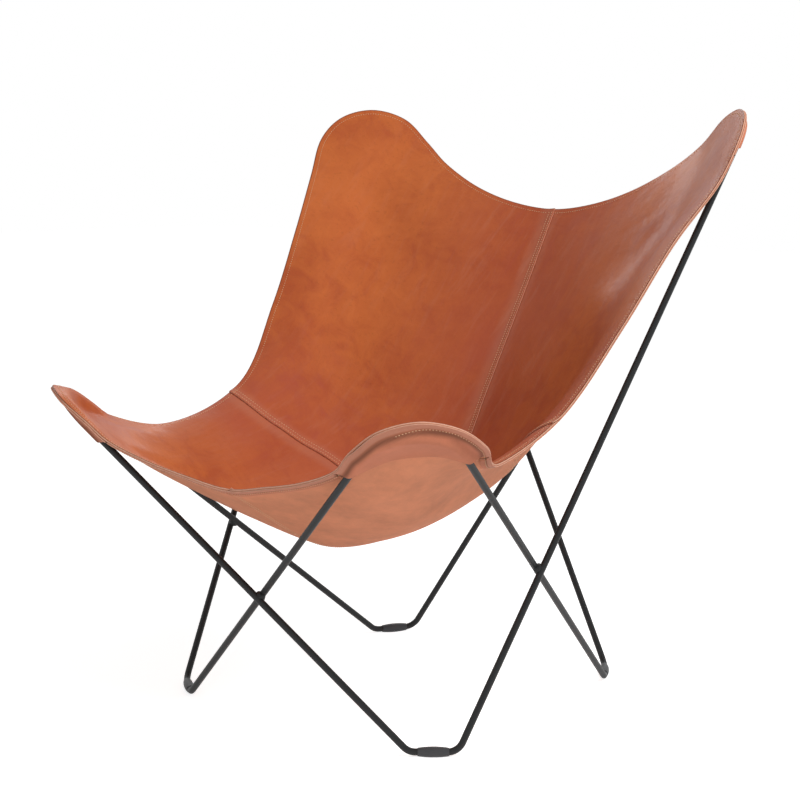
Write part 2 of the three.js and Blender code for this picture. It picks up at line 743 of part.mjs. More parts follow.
function placeLoop(name, run, frontEarSide) {
  const frontEarSideName = sideNames.get(frontEarSide);
  const otherSideName = sideNames.get(-frontEarSide);
  const legs = {
    front: [run.frontEar.start, run.frontFoot.firstBend.start],
    [frontEarSideName]: [run.frontEar.end, run.rearFoot.secondBend.end],
    [otherSideName]: [run.backEar.end, run.frontFoot.secondBend.end],
    back: [run.backEar.start, run.rearFoot.firstBend.start],
  };
  for (const [where, ends] of Object.entries(legs)) {
    place(`loop_${name}_${where}_leg`, straightRod(...ends), powderCoat());
  }
  place(`loop_${name}_front_ear`, earRod(run.frontEar), powderCoat());
  place(`loop_${name}_back_ear`, earRod(run.backEar), powderCoat());
  place(`loop_${name}_front_foot`, rodAlong(footPath(run.frontFoot), footSteps), powderCoat());
  place(`loop_${name}_rear_foot`, rodAlong(footPath(run.rearFoot), footSteps), powderCoat());
  place(`glide_front_${otherSideName}`, glide(run.frontFoot), glidePlastic());
  place(`glide_rear_${frontEarSideName}`, glide(run.rearFoot), glidePlastic());
  return legs;
}

const legsOfA = placeLoop('a', loops.a, right);
const legsOfB = placeLoop('b', loops.b, left);

for (const where of ['front', 'left', 'right', 'back']) {
  place(`weld_${where}`, weldBead(legsOfA[where], legsOfB[where]), powderCoat());
}

for (const side of [left, right]) {
  const half = slingHalf(side);
  const name = sideNames.get(side);
  place(`back_panel_${name}`, panel(half, backPanelShares), tanLeather());
  place(`seat_panel_${name}`, panel(half, seatPanelShares), tanLeather());
  place(`ear_pocket_back_${name}`, backPocket(half), undersideLeather());
  place(`ear_pocket_front_${name}`, frontPocket(half), undersideLeather());
  place(`edge_facing_top_${name}`, topFacing(half), undersideLeather());
  place(`edge_facing_front_${name}`, frontFacing(half), undersideLeather());
  place(`edge_facing_side_${name}`, sideFacing(half), undersideLeather());
}

export default chair;
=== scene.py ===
import json
import math

import bmesh
import bpy
import numpy as np
from bpy.props import FloatProperty, FloatVectorProperty, IntProperty, PointerProperty
from mathutils import Matrix, Vector
from mathutils.bvhtree import BVHTree

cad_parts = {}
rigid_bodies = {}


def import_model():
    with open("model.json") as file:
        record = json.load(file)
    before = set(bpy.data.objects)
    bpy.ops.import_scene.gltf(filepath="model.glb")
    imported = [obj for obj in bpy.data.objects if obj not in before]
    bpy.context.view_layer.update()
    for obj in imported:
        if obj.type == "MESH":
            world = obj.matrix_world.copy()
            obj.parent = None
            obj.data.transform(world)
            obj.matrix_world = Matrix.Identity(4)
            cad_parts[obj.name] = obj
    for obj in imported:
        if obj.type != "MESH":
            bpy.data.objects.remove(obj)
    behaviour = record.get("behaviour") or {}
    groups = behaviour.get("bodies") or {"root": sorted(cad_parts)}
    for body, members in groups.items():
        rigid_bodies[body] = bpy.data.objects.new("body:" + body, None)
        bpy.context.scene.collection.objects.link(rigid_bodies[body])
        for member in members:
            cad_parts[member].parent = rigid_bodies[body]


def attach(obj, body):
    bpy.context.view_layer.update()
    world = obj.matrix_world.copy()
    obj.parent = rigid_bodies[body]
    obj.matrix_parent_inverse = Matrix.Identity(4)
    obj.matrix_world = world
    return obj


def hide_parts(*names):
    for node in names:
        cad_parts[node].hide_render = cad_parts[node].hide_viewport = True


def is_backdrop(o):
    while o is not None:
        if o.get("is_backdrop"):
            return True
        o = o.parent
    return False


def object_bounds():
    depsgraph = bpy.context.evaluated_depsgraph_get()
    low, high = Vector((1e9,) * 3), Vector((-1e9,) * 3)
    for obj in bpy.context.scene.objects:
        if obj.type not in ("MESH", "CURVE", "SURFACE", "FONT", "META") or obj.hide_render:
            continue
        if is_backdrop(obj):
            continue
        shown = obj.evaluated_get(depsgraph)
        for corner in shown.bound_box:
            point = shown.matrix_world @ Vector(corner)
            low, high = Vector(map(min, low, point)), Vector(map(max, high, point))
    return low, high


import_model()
CAD_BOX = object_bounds()

bl_info = {
    "name": "Sling Chair",
    "version": (1, 0, 0),
    "blender": (4, 5, 0),
    "location": "View3D > Sidebar > Sling Chair",
    "description": "Builds a leather sling chair on two crossed rod loops",
    "category": "Object",
}

MM = 0.001
LEFT = 1
RIGHT = -1
SIDE_NAMES = {LEFT: "left", RIGHT: "right"}
UP = np.array([0.0, 0.0, 1.0])

# Rod loops, by the corners that their straight legs would meet at.
ROD_DIAMETER = 10.0
ASSEMBLY_GAP = 0.3
EAR_BEND_RADIUS = 74.0
FOOT_BEND_RADIUS = 23.5
FRONT_EAR_HALF_SPAN = 376.5
FRONT_EAR_REACH = 459.8
FRONT_EAR_HEIGHT = 558.0
BACK_EAR_HALF_SPAN = 425.0
BACK_EAR_REACH = 447.7
BACK_EAR_HEIGHT = 1061.0
FRONT_FOOT_HALF_SPAN = 262.0
FRONT_FOOT_REACH = 231.3
REAR_FOOT_HALF_SPAN = 218.0
REAR_FOOT_REACH = 287.7
LEG_MEETING_DEPTH = 37.0
ROD_HEIGHT_AT_FOOT = 7.0

# Ripples round a weld bead, and how much narrower a glide's ends are inside their lip.
BEAD_RIPPLES = 9
GLIDE_LIP = 0.5

# Leather sling: its centre line, its waist and the rim round each ear.
TOP_EDGE_SET_BACK = 37.5
TOP_EDGE_DROP = 323.0
FRONT_EDGE_SET_BACK = 70.0
FRONT_EDGE_DROP = 188.0
SEAT_DIP = 118.0
WAIST_INSET = 90.0
BACK_RIM_SIDE_MARGIN = 31.0
BACK_RIM_TIP_MARGIN = 12.0
FRONT_RIM_SIDE_MARGIN = 24.0
FRONT_RIM_TIP_MARGIN = 20.0
RIM_SHIFT_TO_SIDE = 9.0
RIM_ANGLES = np.radians([-66.0, -33.0, 0.0, 33.0, 66.0])

# How far each rim lies above the plane of its rod, from the side edge round the tip.
BACK_RIM_RISES = {LEFT: [8, 8, 8, 10, 12], RIGHT: [12, 12, 12, 12, 12]}
FRONT_RIM_RISES = {LEFT: [5, 6, 11, 11, 10], RIGHT: [-13, -13, -11, -4, 4]}
FRONT_SIDE_DROPS = {LEFT: -3.0, RIGHT: -13.0}

# How steeply the leather falls away on both sides of an ear's rod, in degrees.
BACK_EAR_LEANS = {LEFT: 14.0, RIGHT: 14.0}
FRONT_EAR_LEANS = {LEFT: 14.0, RIGHT: 33.0}

# Shares of the distances between ends: across, back or forward, and up or down.
TOP_EDGE_SHARES = [(0.28, -0.2, 0.09), (0.555, -0.1, 0.31), (0.815, 0.4, 0.65)]
FRONT_EDGE_SHARES = [(0.31, 0.2, 0.15), (0.6, 0.4, 0.34), (0.86, 0.68, 0.63)]
SIDE_EDGE_SHARES = [(0.066, 0.156, 0.09), (0.188, 0.375, 0.38), (0.342, 0.68, 0.68),
                    (0.53, 0.98, 1.0), (0.81, 1.11, 0.94)]
CENTRE_BACK_SHARES = [(0.0875, 0.228), (0.169, 0.432), (0.2425, 0.615), (0.309, 0.784),
                      (0.396, 0.922), (0.54, 0.988)]
CENTRE_FRONT_SHARES = [(0.741, 0.95)]
CROSS_SEAM_CENTRE_SHARE = 0.57
CROSS_SEAM_SIDE_SHARE = 0.055
CROSS_SEAM_RAMP_SHARES = (0.35, 0.95)

# Leather layers and laps.
ROD_RELIEF_BLEND = 2.0
LAP_WIDTH = 14.0
LAP_FADE = 5.0
LAP_EDGE_SHARE = 0.62
FEATHER_THICKNESS = 0.4
EDGE_ROUNDING = 1.0
EDGE_FLAT_SHARE = 0.45
LAYER_GAP = 0.15
BACK_POCKET_ALONG_TOP = 128.0
BACK_POCKET_ALONG_SIDE = 140.0
FRONT_POCKET_ALONG_FRONT = 158.0
FRONT_POCKET_ALONG_SIDE = 152.0
FACING_OFF_POCKET = 1.0
# A band of painted shade in a pocket's hollow: its distance inside the rim and its half width.
GROOVE_SHADE_INSET = 11.0
GROOVE_SHADE_HALF_WIDTH = 4.0
CENTRE_NOTCH_DEPTH = 5.0
CENTRE_NOTCH_HALF_WIDTH = 4.0
CENTRE_NOTCH_FROM = 0.9

# How steeply a pocket lies beside the ear's rod, in degrees: inside the rod, and out to its rim.
POCKET_LEAN = 17.0
POCKET_RIM_LEANS = {"back": 76.0, "front": 52.0}

# Stitch rows: how far the rows of a seam lie inside the upper panel's edge, how far a rim row
# keeps off the centre lap, the share of the length by which a centre row stops short of the
# cross seam, and how deep the needle reaches.
CENTRE_SEAM_ROWS = (3.0, 9.5)
CROSS_SEAM_ROWS = (3.5, 11.0)
RIM_ROW_OFF_LAP = 2.0
ROW_STOPS_SHORT = {"back": 0.003, "seat": 0.004}
NEEDLE_REACH = 12.0

# Flat lengths of the edge facings, in metres.
FACING_LENGTHS = {"top": 0.3, "front": 0.22, "side": 0.74}

# How finely the pieces are made and their shares are measured.
CURVE_STEPS = 48
NORMAL_STEP = 1 / 64
SMALL_SHARE = 0.03
FINE_CELL = 0.7
COARSE_CELL = 7.0
LINING_CELL = 4.0
CELL_GROWTH = 1.45
EVEN_CELLS_FROM = 30.0
EVEN_CELLS_TO = 130.0
EAR_BEND_STEPS = 40
FOOT_BEND_STEPS = 14
SIDE_FACING_STEPS = 90
END_FACING_STEPS = 60
RIM_ROW_POINTS = 400
SEAM_ROW_POINTS = 200
ROW_POINT_SPACING = 3.0
BEAD_RINGS, BEAD_SIDES = 20, 36
GLIDE_RINGS, GLIDE_SIDES = 33, 48
MERGE_DISTANCE = 1e-6
NO_LENGTH = 1e-12

# Rough sizes by which the grids of the panels and the pockets are divided.
PANEL_WIDTH = 400.0
POCKET_DEPTH = 100.0
POCKET_WIDTH = 300.0

# Faces of a leather piece, by its material slots.
GRAIN_FACE, FLESH_FACE, EDGE_FACE = 0, 1, 2

# The fold shade distance of a panel that gets no painted fold shade.
FREE_OF_FOLD_SHADE = 1000.0

# The photograph's viewpoint, in degrees and millimetres; what the camera reaches is in metres.
CAMERA_AZIMUTH = 37.83
CAMERA_ELEVATION = 7.82
CAMERA_ROLL = 0.61
CAMERA_DISTANCE = 2810.3
CAMERA_LENS = 82.427
CAMERA_TARGET = (-1.45, -2.46, 454.54)
CAMERA_SENSOR = 36.0
CAMERA_REACH = 100.0

# Studio lamps: place, width and depth, and the point that they face, in metres.
KEY_LAMP = {"place": (2.35, 0.0, 3.15), "size": (2.4, 2.4), "faces": (0, 0, 0.5)}
BOUNCE_LAMP = {"place": (0.3, -1.5, 0.1), "size": (1.4, 1.4), "faces": (0, -0.15, 0.4)}
SHEEN_LAMP = {"place": (-2.1, 2.1, 2.1), "size": (3.6, 0.45), "faces": (0, 0, 0.6)}

# The floor as it is lit, and the plain grey that the camera sees added to it.
FLOOR_PAINT = (0.85, 0.85, 0.85, 1)
FLOOR_GLOW = (0.78, 0.78, 0.78, 1)


def linear(hex_colour):
    """Linear colour of an sRGB hex value such as "#aabbcc"."""
    shares = [int(hex_colour[i:i + 2], 16) / 255 for i in (1, 3, 5)]
    return tuple(c / 12.92 if c <= 0.04045 else ((c + 0.055) / 1.055) ** 2.4 for c in shares)


# Tints over the hide: pale pink for streaks and rims and as a painted sheen beside the seams; dark
# red for marks and as painted shade near the seams and in fold bands.
PALE_PINK = (*linear("#c38a74"), 1.0)
BLUSH = (*linear("#a94f36"), 1.0)


# Settings that a user would change

class RodSettings(bpy.types.PropertyGroup):
    rod_diameter: FloatProperty(
        name="Rod diameter", description="Thickness of the bent steel rod",
        default=ROD_DIAMETER * MM, min=0.006, max=0.014, unit="LENGTH", subtype="DISTANCE")
    rod_sides: IntProperty(
        name="Rod sides", description="Faces round the rod", default=28, min=8, max=64)
    bead_radius: FloatProperty(
        name="Weld bead", description="Radius of the weld bead at each crossing",
        default=7.9 * MM, min=0.006, max=0.012, unit="LENGTH", subtype="DISTANCE")
    bead_ripple: FloatProperty(
        name="Weld ripple", description="Height of the ripples in a weld bead",
        default=0.35 * MM, min=0, max=0.001, unit="LENGTH", subtype="DISTANCE")
    coat_colour: FloatVectorProperty(
        name="Powder coat", description="Colour of the coated rods",
        default=linear("#1d1e1f"), size=3, min=0, max=1, subtype="COLOR")


class GlideSettings(bpy.types.PropertyGroup):
    length: FloatProperty(
        name="Length", description="Length of the sleeve round each foot",
        default=44 * MM, min=0.03, max=0.06, unit="LENGTH", subtype="DISTANCE")
    middle_radius: FloatProperty(
        name="Middle radius", description="Radius of the sleeve at its middle",
        default=7.6 * MM, min=0.0065, max=0.009, unit="LENGTH", subtype="DISTANCE")
    end_radius: FloatProperty(
        name="End radius", description="Radius of the sleeve at its ends",
        default=5.9 * MM, min=0.0055, max=0.007, unit="LENGTH", subtype="DISTANCE")
    colour: FloatVectorProperty(
        name="Colour", description="Colour of the glides",
        default=linear("#3a3b3d"), size=3, min=0, max=1, subtype="COLOR")


class LeatherSettings(bpy.types.PropertyGroup):
    thickness: FloatProperty(
        name="Leather", description="Thickness of the main leather",
        default=3.2 * MM, min=0.002, max=0.0035, unit="LENGTH", subtype="DISTANCE")
    pocket_thickness: FloatProperty(
        name="Pocket leather", description="Thickness of the leather of the ear pockets",
        default=2.0 * MM, min=0.001, max=0.003, unit="LENGTH", subtype="DISTANCE")
    facing_width: FloatProperty(
        name="Facing width", description="Width of the strips under the free edges",
        default=16 * MM, min=0.01, max=0.03, unit="LENGTH", subtype="DISTANCE")
    facing_thickness: FloatProperty(
        name="Facing leather", description="Thickness of the strips under the free edges",
        default=1.8 * MM, min=0.001, max=0.003, unit="LENGTH", subtype="DISTANCE")
    grain_colour: FloatVectorProperty(
        name="Grain side", description="Colour of the smooth side of the leather",
        default=linear("#b95f2f"), size=3, min=0, max=1, subtype="COLOR")
    flesh_colour: FloatVectorProperty(
        name="Flesh side", description="Colour of the rough side of the leather",
        default=linear("#d88b67"), size=3, min=0, max=1, subtype="COLOR")
    pocket_colour: FloatVectorProperty(
        name="Pockets and facings", description="Colour of the leather sewn under the edges",
        default=linear("#c97c5e"), size=3, min=0, max=1, subtype="COLOR")
    edge_colour: FloatVectorProperty(
        name="Cut edges", description="Colour of the sanded cut edges",
        default=linear("#d9a88f"), size=3, min=0, max=1, subtype="COLOR")


class ThreadSettings(bpy.types.PropertyGroup):
    diameter: FloatProperty(
        name="Thread", description="Thickness of the thread",
        default=1.3 * MM, min=0.0004, max=0.002, unit="LENGTH", subtype="DISTANCE")
    stitch_length: FloatProperty(
        name="Stitch length", description="Length of each stitch",
        default=2.5 * MM, min=0.002, max=0.008, unit="LENGTH", subtype="DISTANCE")
    pitch: FloatProperty(
        name="Pitch", description="Distance from stitch to stitch",
        default=4.4 * MM, min=0.003, max=0.01, unit="LENGTH", subtype="DISTANCE")
    edge_inset: FloatProperty(
        name="Inset", description="Distance of a stitch row from the free edge",
        default=8.5 * MM, min=0.004, max=0.014, unit="LENGTH", subtype="DISTANCE")
    colour: FloatVectorProperty(
        name="Colour", description="Colour of the waxed thread",
        default=linear("#d6aa84"), size=3, min=0, max=1, subtype="COLOR")


class StageSettings(bpy.types.PropertyGroup):
    floor_size: FloatProperty(
        name="Floor size", description="Width and depth of the floor",
        default=24.0, min=4, max=60, unit="LENGTH", subtype="DISTANCE")
    key_power: FloatProperty(
        name="Key light", description="Power of the large soft light over the sitter's left",
        default=108.0, min=0, max=400, unit="POWER")
    bounce_power: FloatProperty(
        name="Bounce light",
        description="Power of the low soft light in front, like a white card on the floor",
        default=6.0, min=0, max=400, unit="POWER")
    sheen_power: FloatProperty(
        name="Sheen card",
        description="Power of the long card behind the chair that only shows in its gloss",
        default=28.0, min=0, max=400, unit="POWER")
    room_level: FloatProperty(
        name="Room level", description="Strength of the even light from all round",
        default=0.27, min=0, max=1, subtype="FACTOR")


# Frame: corners, bends and legs of the rod loops

def unit(vector):
    return vector / np.linalg.norm(vector)


def along(start, end):
    """Direction from one point to another."""
    return unit(end - start)


def smooth_step(low, high, value):
    """Zero up to the low value, one from the high value, and a soft rise between them."""
    share = np.clip((value - low) / (high - low), 0.0, 1.0)
    return share * share * (3 - 2 * share)


def smoother_step(low, high, value):
    """The same with an even softer start and end, so that a curve shows no kink."""
    share = np.clip((value - low) / (high - low), 0.0, 1.0)
    return share ** 3 * (share * (6 * share - 15) + 10)


def spacing_to_touch(run, rise):
    """Two legs that lean the same way touch when their loops stand this far apart."""
    return (ROD_DIAMETER + ASSEMBLY_GAP) * math.hypot(run, rise) / rise


LOOP_SHIFT = max(
    spacing_to_touch(FRONT_EAR_REACH - FRONT_FOOT_REACH, FRONT_EAR_HEIGHT + LEG_MEETING_DEPTH),
    spacing_to_touch(BACK_EAR_REACH - REAR_FOOT_REACH, BACK_EAR_HEIGHT + LEG_MEETING_DEPTH),
) / 2


def loop_corners(front_ear_side, inset):
    """The four corners of the loop whose front ear is on the given side."""
    own = front_ear_side
    y = own * LOOP_SHIFT
    corners = {
        "front_ear": (own * (FRONT_EAR_HALF_SPAN - inset), y - FRONT_EAR_REACH, FRONT_EAR_HEIGHT),
        "front_foot": (-own * FRONT_FOOT_HALF_SPAN, y - FRONT_FOOT_REACH, -LEG_MEETING_DEPTH),
        "back_ear": (-own * BACK_EAR_HALF_SPAN, y + BACK_EAR_REACH, BACK_EAR_HEIGHT),
        "rear_foot": (own * (REAR_FOOT_HALF_SPAN - inset), y + REAR_FOOT_REACH, -LEG_MEETING_DEPTH),
    }
    return {name: np.array(corner) for name, corner in corners.items()}


def inset_to_touch(inner_side):
    """How far in the front ears and rear feet stand so that the side legs just clear."""
    inner = loop_corners(inner_side, 0.0)
    outer = loop_corners(-inner_side, 0.0)
    outwards = unit(np.cross(along(inner["front_ear"], inner["rear_foot"]),
                             along(outer["back_ear"], outer["front_foot"])))
    if outwards[0] * inner_side < 0:
        outwards = -outwards
    distance = np.dot(outer["back_ear"] - inner["front_ear"], outwards)
    return (ROD_DIAMETER + ASSEMBLY_GAP - distance) / abs(outwards[0])


def bend(corner, before, after, radius):
    """The bend of that radius which rounds the corner between two straight stretches."""
    to_before = along(corner, before)
    to_after = along(corner, after)
    half_angle = math.acos(np.clip(np.dot(to_before, to_after), -1, 1)) / 2
    inwards = unit(to_before + to_after)
    return {
        "centre": corner + inwards * radius / math.sin(half_angle),
        "start": corner + to_before * radius / math.tan(half_angle),
        "end": corner + to_after * radius / math.tan(half_angle),
        "tip": -inwards,
        "to_before": to_before,
        "to_after": to_after,
        "sweep": math.pi - 2 * half_angle,
        "radius": radius,
    }


def bend_points(rounded, steps):
    """Points along a bend, from its start to its end."""
    angles = np.linspace(0, rounded["sweep"], steps + 1)[:, None]
    first = rounded["start"] - rounded["centre"]
    tangent = -rounded["to_before"] * rounded["radius"]
    return rounded["centre"] + first * np.cos(angles) + tangent * np.sin(angles)


def foot_run(foot_corner, first_ear, second_ear):
    """The two bends and the level stretch of a foot."""
    def at_foot_height(ear_corner):
        share = (ROD_HEIGHT_AT_FOOT - foot_corner[2]) / (ear_corner[2] - foot_corner[2])
        return foot_corner + (ear_corner - foot_corner) * share
    first = at_foot_height(first_ear)
    second = at_foot_height(second_ear)
    return {
        "first": bend(first, first_ear, second, FOOT_BEND_RADIUS),
        "second": bend(second, first, second_ear, FOOT_BEND_RADIUS),
        "middle": (first + second) / 2,
        "direction": along(first, second),
    }


def loop_runs(front_ear_side):
    """The bends and feet of a loop."""
    corners = loop_corners(front_ear_side, INNER_LEG_INSET)
    front_ear, front_foot = corners["front_ear"], corners["front_foot"]
    back_ear, rear_foot = corners["back_ear"], corners["rear_foot"]
    return {
        "front_ear": bend(front_ear, front_foot, rear_foot, EAR_BEND_RADIUS),
        "back_ear": bend(back_ear, rear_foot, front_foot, EAR_BEND_RADIUS),
        "front_foot": foot_run(front_foot, front_ear, back_ear),
        "rear_foot": foot_run(rear_foot, back_ear, front_ear),
    }


INNER_LEG_INSET = max(inset_to_touch(LEFT), inset_to_touch(RIGHT))
LOOPS = {"a": loop_runs(RIGHT), "b": loop_runs(LEFT)}
LOOP_FRONT_EAR_SIDES = {"a": RIGHT, "b": LEFT}


def loop_path(run):
    """Closed centre line of a loop: front ear, front foot, back ear, rear foot."""
    return np.concatenate([
        bend_points(run["front_ear"], EAR_BEND_STEPS)[::-1],
        bend_points(run["front_foot"]["first"], FOOT_BEND_STEPS),
        bend_points(run["front_foot"]["second"], FOOT_BEND_STEPS),
        bend_points(run["back_ear"], EAR_BEND_STEPS)[::-1],
        bend_points(run["rear_foot"]["first"], FOOT_BEND_STEPS),
        bend_points(run["rear_foot"]["second"], FOOT_BEND_STEPS),
    ])


def loop_legs(name):
    """The straight legs of a loop, by where they stand."""
    run = LOOPS[name]
    side = LOOP_FRONT_EAR_SIDES[name]
    return {
        "front": (run["front_ear"]["start"], run["front_foot"]["first"]["start"]),
        SIDE_NAMES[side]: (run["front_ear"]["end"], run["rear_foot"]["second"]["end"]),
        SIDE_NAMES[-side]: (run["back_ear"]["end"], run["front_foot"]["second"]["end"]),
        "back": (run["back_ear"]["start"], run["rear_foot"]["first"]["start"]),
    }


def crossing(first_leg, second_leg):
    """Middle of the shortest line between two legs."""
    u = along(*first_leg)
    v = along(*second_leg)
    between = second_leg[0] - first_leg[0]
    cosine = np.dot(u, v)
    along_first = (np.dot(between, u) - cosine * np.dot(between, v)) / (1 - cosine ** 2)
    along_second = (cosine * np.dot(between, u) - np.dot(between, v)) / (1 - cosine ** 2)
    return (first_leg[0] + u * along_first + second_leg[0] + v * along_second) / 2


# Sling: edge curves and the surface between them

def smooth_run(points, mirror_ends):
    """Smooth curve through points, as a dense run of points."""
    points = np.array(points, dtype=float)
    mirror = np.array([-1.0, 1.0, 1.0])
    if mirror_ends:
        ends = (points[1] * mirror, points[-2] * mirror)
    else:
        ends = (2 * points[0] - points[1], 2 * points[-1] - points[-2])
    padded = np.vstack([ends[0], points, ends[1]])
    t = (np.arange(CURVE_STEPS) / CURVE_STEPS)[:, None]
    pieces = []
    for a, b, c, d in zip(padded, padded[1:], padded[2:], padded[3:]):
        pieces.append(0.5 * (2 * b + (c - a) * t + (2 * a - 5 * b + 4 * c - d) * t ** 2
                             + (3 * b - a - 3 * c + d) * t ** 3))
    return np.vstack([*pieces, points[-1]])


class EdgeCurve:
    """A curve that can be asked for its points at shares of its length."""

    def __init__(self, run):
        steps = np.linalg.norm(np.diff(run, axis=0), axis=1)
        self.run = run
        self.places = np.concatenate([[0], np.cumsum(steps)])
        self.total = self.places[-1]

    def at(self, shares):
        wanted = np.clip(shares, 0, 1) * self.total
        return np.stack([np.interp(wanted, self.places, axis) for axis in self.run.T], axis=-1)


def ear_frame(rounded):
    """An ear as the sling sees it: its bend, and the directions to the side and to the sitter."""
    to_side = along(rounded["start"], rounded["end"])
    normal = unit(np.cross(rounded["tip"], to_side))
    if normal[2] < 0:
        normal = -normal
    return {**rounded, "to_side": to_side, "normal": normal}


def ear_rim(ear, side_margin, tip_margin, rises):
    """Points of the sling's rim round an ear."""
    radius = EAR_BEND_RADIUS + side_margin
    return [ear["centre"]
            + ear["tip"] * (radius * math.cos(angle) + tip_margin - side_margin)
            + ear["to_side"] * (RIM_SHIFT_TO_SIDE - radius * math.sin(angle))
            + ear["normal"] * rise
            for angle, rise in zip(RIM_ANGLES, rises)]


def between(start, end, shares):
    """The point at a share of the way, one share for each of x, y and z."""
    return start + (end - start) * np.array(shares)


def sling_half(side):
    """One half of the sling: its ears and its four edge curves."""
    front_loop, back_loop = (LOOPS["a"], LOOPS["b"]) if side == RIGHT else (LOOPS["b"], LOOPS["a"])
    front_lean = math.radians(FRONT_EAR_LEANS[side])
    back_lean = math.radians(BACK_EAR_LEANS[side])
    front_ear = {**ear_frame(front_loop["front_ear"]), "lean": front_lean}
    back_ear = {**ear_frame(back_loop["back_ear"]), "lean": back_lean}
    front_rim = ear_rim(
        front_ear, FRONT_RIM_SIDE_MARGIN, FRONT_RIM_TIP_MARGIN, FRONT_RIM_RISES[side])
    back_rim = ear_rim(
        back_ear, BACK_RIM_SIDE_MARGIN, BACK_RIM_TIP_MARGIN, BACK_RIM_RISES[side])[::-1]
    top_reach = BACK_EAR_REACH - TOP_EDGE_SET_BACK
    top_height = BACK_EAR_HEIGHT - TOP_EDGE_DROP
    front_reach = FRONT_EAR_REACH - FRONT_EDGE_SET_BACK
    front_height = FRONT_EAR_HEIGHT - FRONT_EDGE_DROP
    lowest_height = front_height - SEAT_DIP
    waist = side * ((BACK_EAR_HALF_SPAN + FRONT_EAR_HALF_SPAN) / 2 - WAIST_INSET)
    top_middle = np.array([0.0, top_reach, top_height])
    front_middle = np.array([0.0, -front_reach, front_height])
    top_points = [between(top_middle, back_rim[0], shares) for shares in TOP_EDGE_SHARES]
    front_points = [between(front_middle, front_rim[4], shares) for shares in FRONT_EDGE_SHARES]
    front_points.reverse()
    side_points = []
    for forward, down, drawn_in in SIDE_EDGE_SHARES:
        point = between(back_rim[4], front_rim[0], (forward, forward, down))
        point[0] += (waist - point[0]) * drawn_in
        point[2] -= FRONT_SIDE_DROPS[side] * forward ** 2
        side_points.append(point)
    rim_points = [top_middle, *top_points, *back_rim, *side_points,
                  *front_rim, *front_points, front_middle]
    rim = smooth_run(rim_points, True)
    back_tip = (1 + len(top_points) + 2) * CURVE_STEPS
    front_tip = (len(rim_points) - 2 - len(front_points) - 2) * CURVE_STEPS

    def centre_point(edge_height, shares):
        forward, down = shares
        return [0.0, top_reach - (top_reach + front_reach) * forward,
                edge_height + (lowest_height - edge_height) * down]

    centre = smooth_run([
        top_middle,
        *[centre_point(top_height, shares) for shares in CENTRE_BACK_SHARES],
        *[centre_point(front_height, shares) for shares in CENTRE_FRONT_SHARES],
        front_middle,
    ], False)
    return {
        "side": side,
        "front_ear": front_ear,
        "back_ear": back_ear,
        "centre": EdgeCurve(centre),
        "top": EdgeCurve(rim[:back_tip + 1]),
        "edge": EdgeCurve(rim[back_tip:front_tip + 1]),
        "front": EdgeCurve(rim[front_tip:][::-1]),
    }


HALVES = {side: sling_half(side) for side in (LEFT, RIGHT)}


def distance_past_ear_rod(ear, in_plane):
    """Distance from the centre line of an ear's rod, in its plane; negative inside the ear."""
    from_start = in_plane - ear["start"]
    from_end = in_plane - ear["end"]
    near_start = np.linalg.norm(from_start, axis=-1) < np.linalg.norm(from_end, axis=-1)
    by_bend = np.linalg.norm(in_plane - ear["centre"], axis=-1) - ear["radius"]
    by_start = from_start @ unit(ear["start"] - ear["centre"])
    by_end = from_end @ unit(ear["end"] - ear["centre"])
    by_leg = np.where(near_start, by_start, by_end)
    along_leg = np.where(near_start, from_start @ ear["to_before"], from_end @ ear["to_after"])
    return np.where(along_leg > 0, by_leg, by_bend)


def in_ear_plane(ear, points):
    """Height of points over an ear's plane, and the places in that plane under them."""
    height = (points - ear["centre"]) @ ear["normal"]
    return height, points - height[..., None] * ear["normal"]


def over_rod(distance, clear, lean):
    """Height of taut leather over a round rod: round on top, then straight down both sides."""
    on_top = np.sqrt(np.maximum(clear ** 2 - distance ** 2, 0))
    straight = clear / math.cos(lean) - distance * math.tan(lean)
    return np.where(distance < clear * math.sin(lean), on_top, straight)


def smooth_larger(a, b):
    """The larger of two heights, with a soft change from one to the other."""
    return (a + b + np.hypot(a - b, ROD_RELIEF_BLEND)) / 2


def ride_over_rod(ear, points, thickness):
    """Lifts the points of the sling so that the leather rides over the rod of an ear."""
    height, in_plane = in_ear_plane(ear, points)
    clear = ROD_DIAMETER / 2 + ASSEMBLY_GAP + thickness / 2
    needed = over_rod(np.abs(distance_past_ear_rod(ear, in_plane)), clear, ear["lean"])
    return in_plane + smooth_larger(height, needed)[..., None] * ear["normal"]


def half_point(half, across, down):
    """Middle of the leather at shares across (centre to side) and down (top to front)."""
    u = across[..., None]
    v = down[..., None]
    point = (half["centre"].at(down) * (1 - u) + half["edge"].at(down) * u
             + half["top"].at(across) * (1 - v) + half["front"].at(across) * v
             - half["top"].at(0.0) * (1 - u) * (1 - v) - half["front"].at(0.0) * (1 - u) * v
             - half["top"].at(1.0) * u * (1 - v) - half["front"].at(1.0) * u * v)
    thickness = leather().thickness / MM
    for ear in ("back_ear", "front_ear"):
        point = ride_over_rod(half[ear], point, thickness)
    return point


def half_normal(half, across, down):
    """Direction from the sling towards the sitter, level across the centre line."""
    u = np.clip(across, NORMAL_STEP, 1 - NORMAL_STEP)
    v = np.clip(down, NORMAL_STEP, 1 - NORMAL_STEP)
    across_line = half_point(half, u + NORMAL_STEP, v) - half_point(half, u - NORMAL_STEP, v)
    down_line = half_point(half, u, v + NORMAL_STEP) - half_point(half, u, v - NORMAL_STEP)
    normal = np.cross(across_line, down_line) * -half["side"]
    normal[..., 0] *= smooth_step(0.0, NORMAL_STEP, across)
    return normal / np.linalg.norm(normal, axis=-1, keepdims=True)


def sling_at(side, across, down):
    """Point and normal of the sling; an across share below zero lies on the other half."""
    beyond = (across < 0)[..., None]
    share = np.abs(across)
    own, other = HALVES[side], HALVES[-side]
    point = np.where(beyond, half_point(other, share, down), half_point(own, share, down))
    normal = np.where(beyond, half_normal(other, share, down), half_normal(own, share, down))
    return point, normal


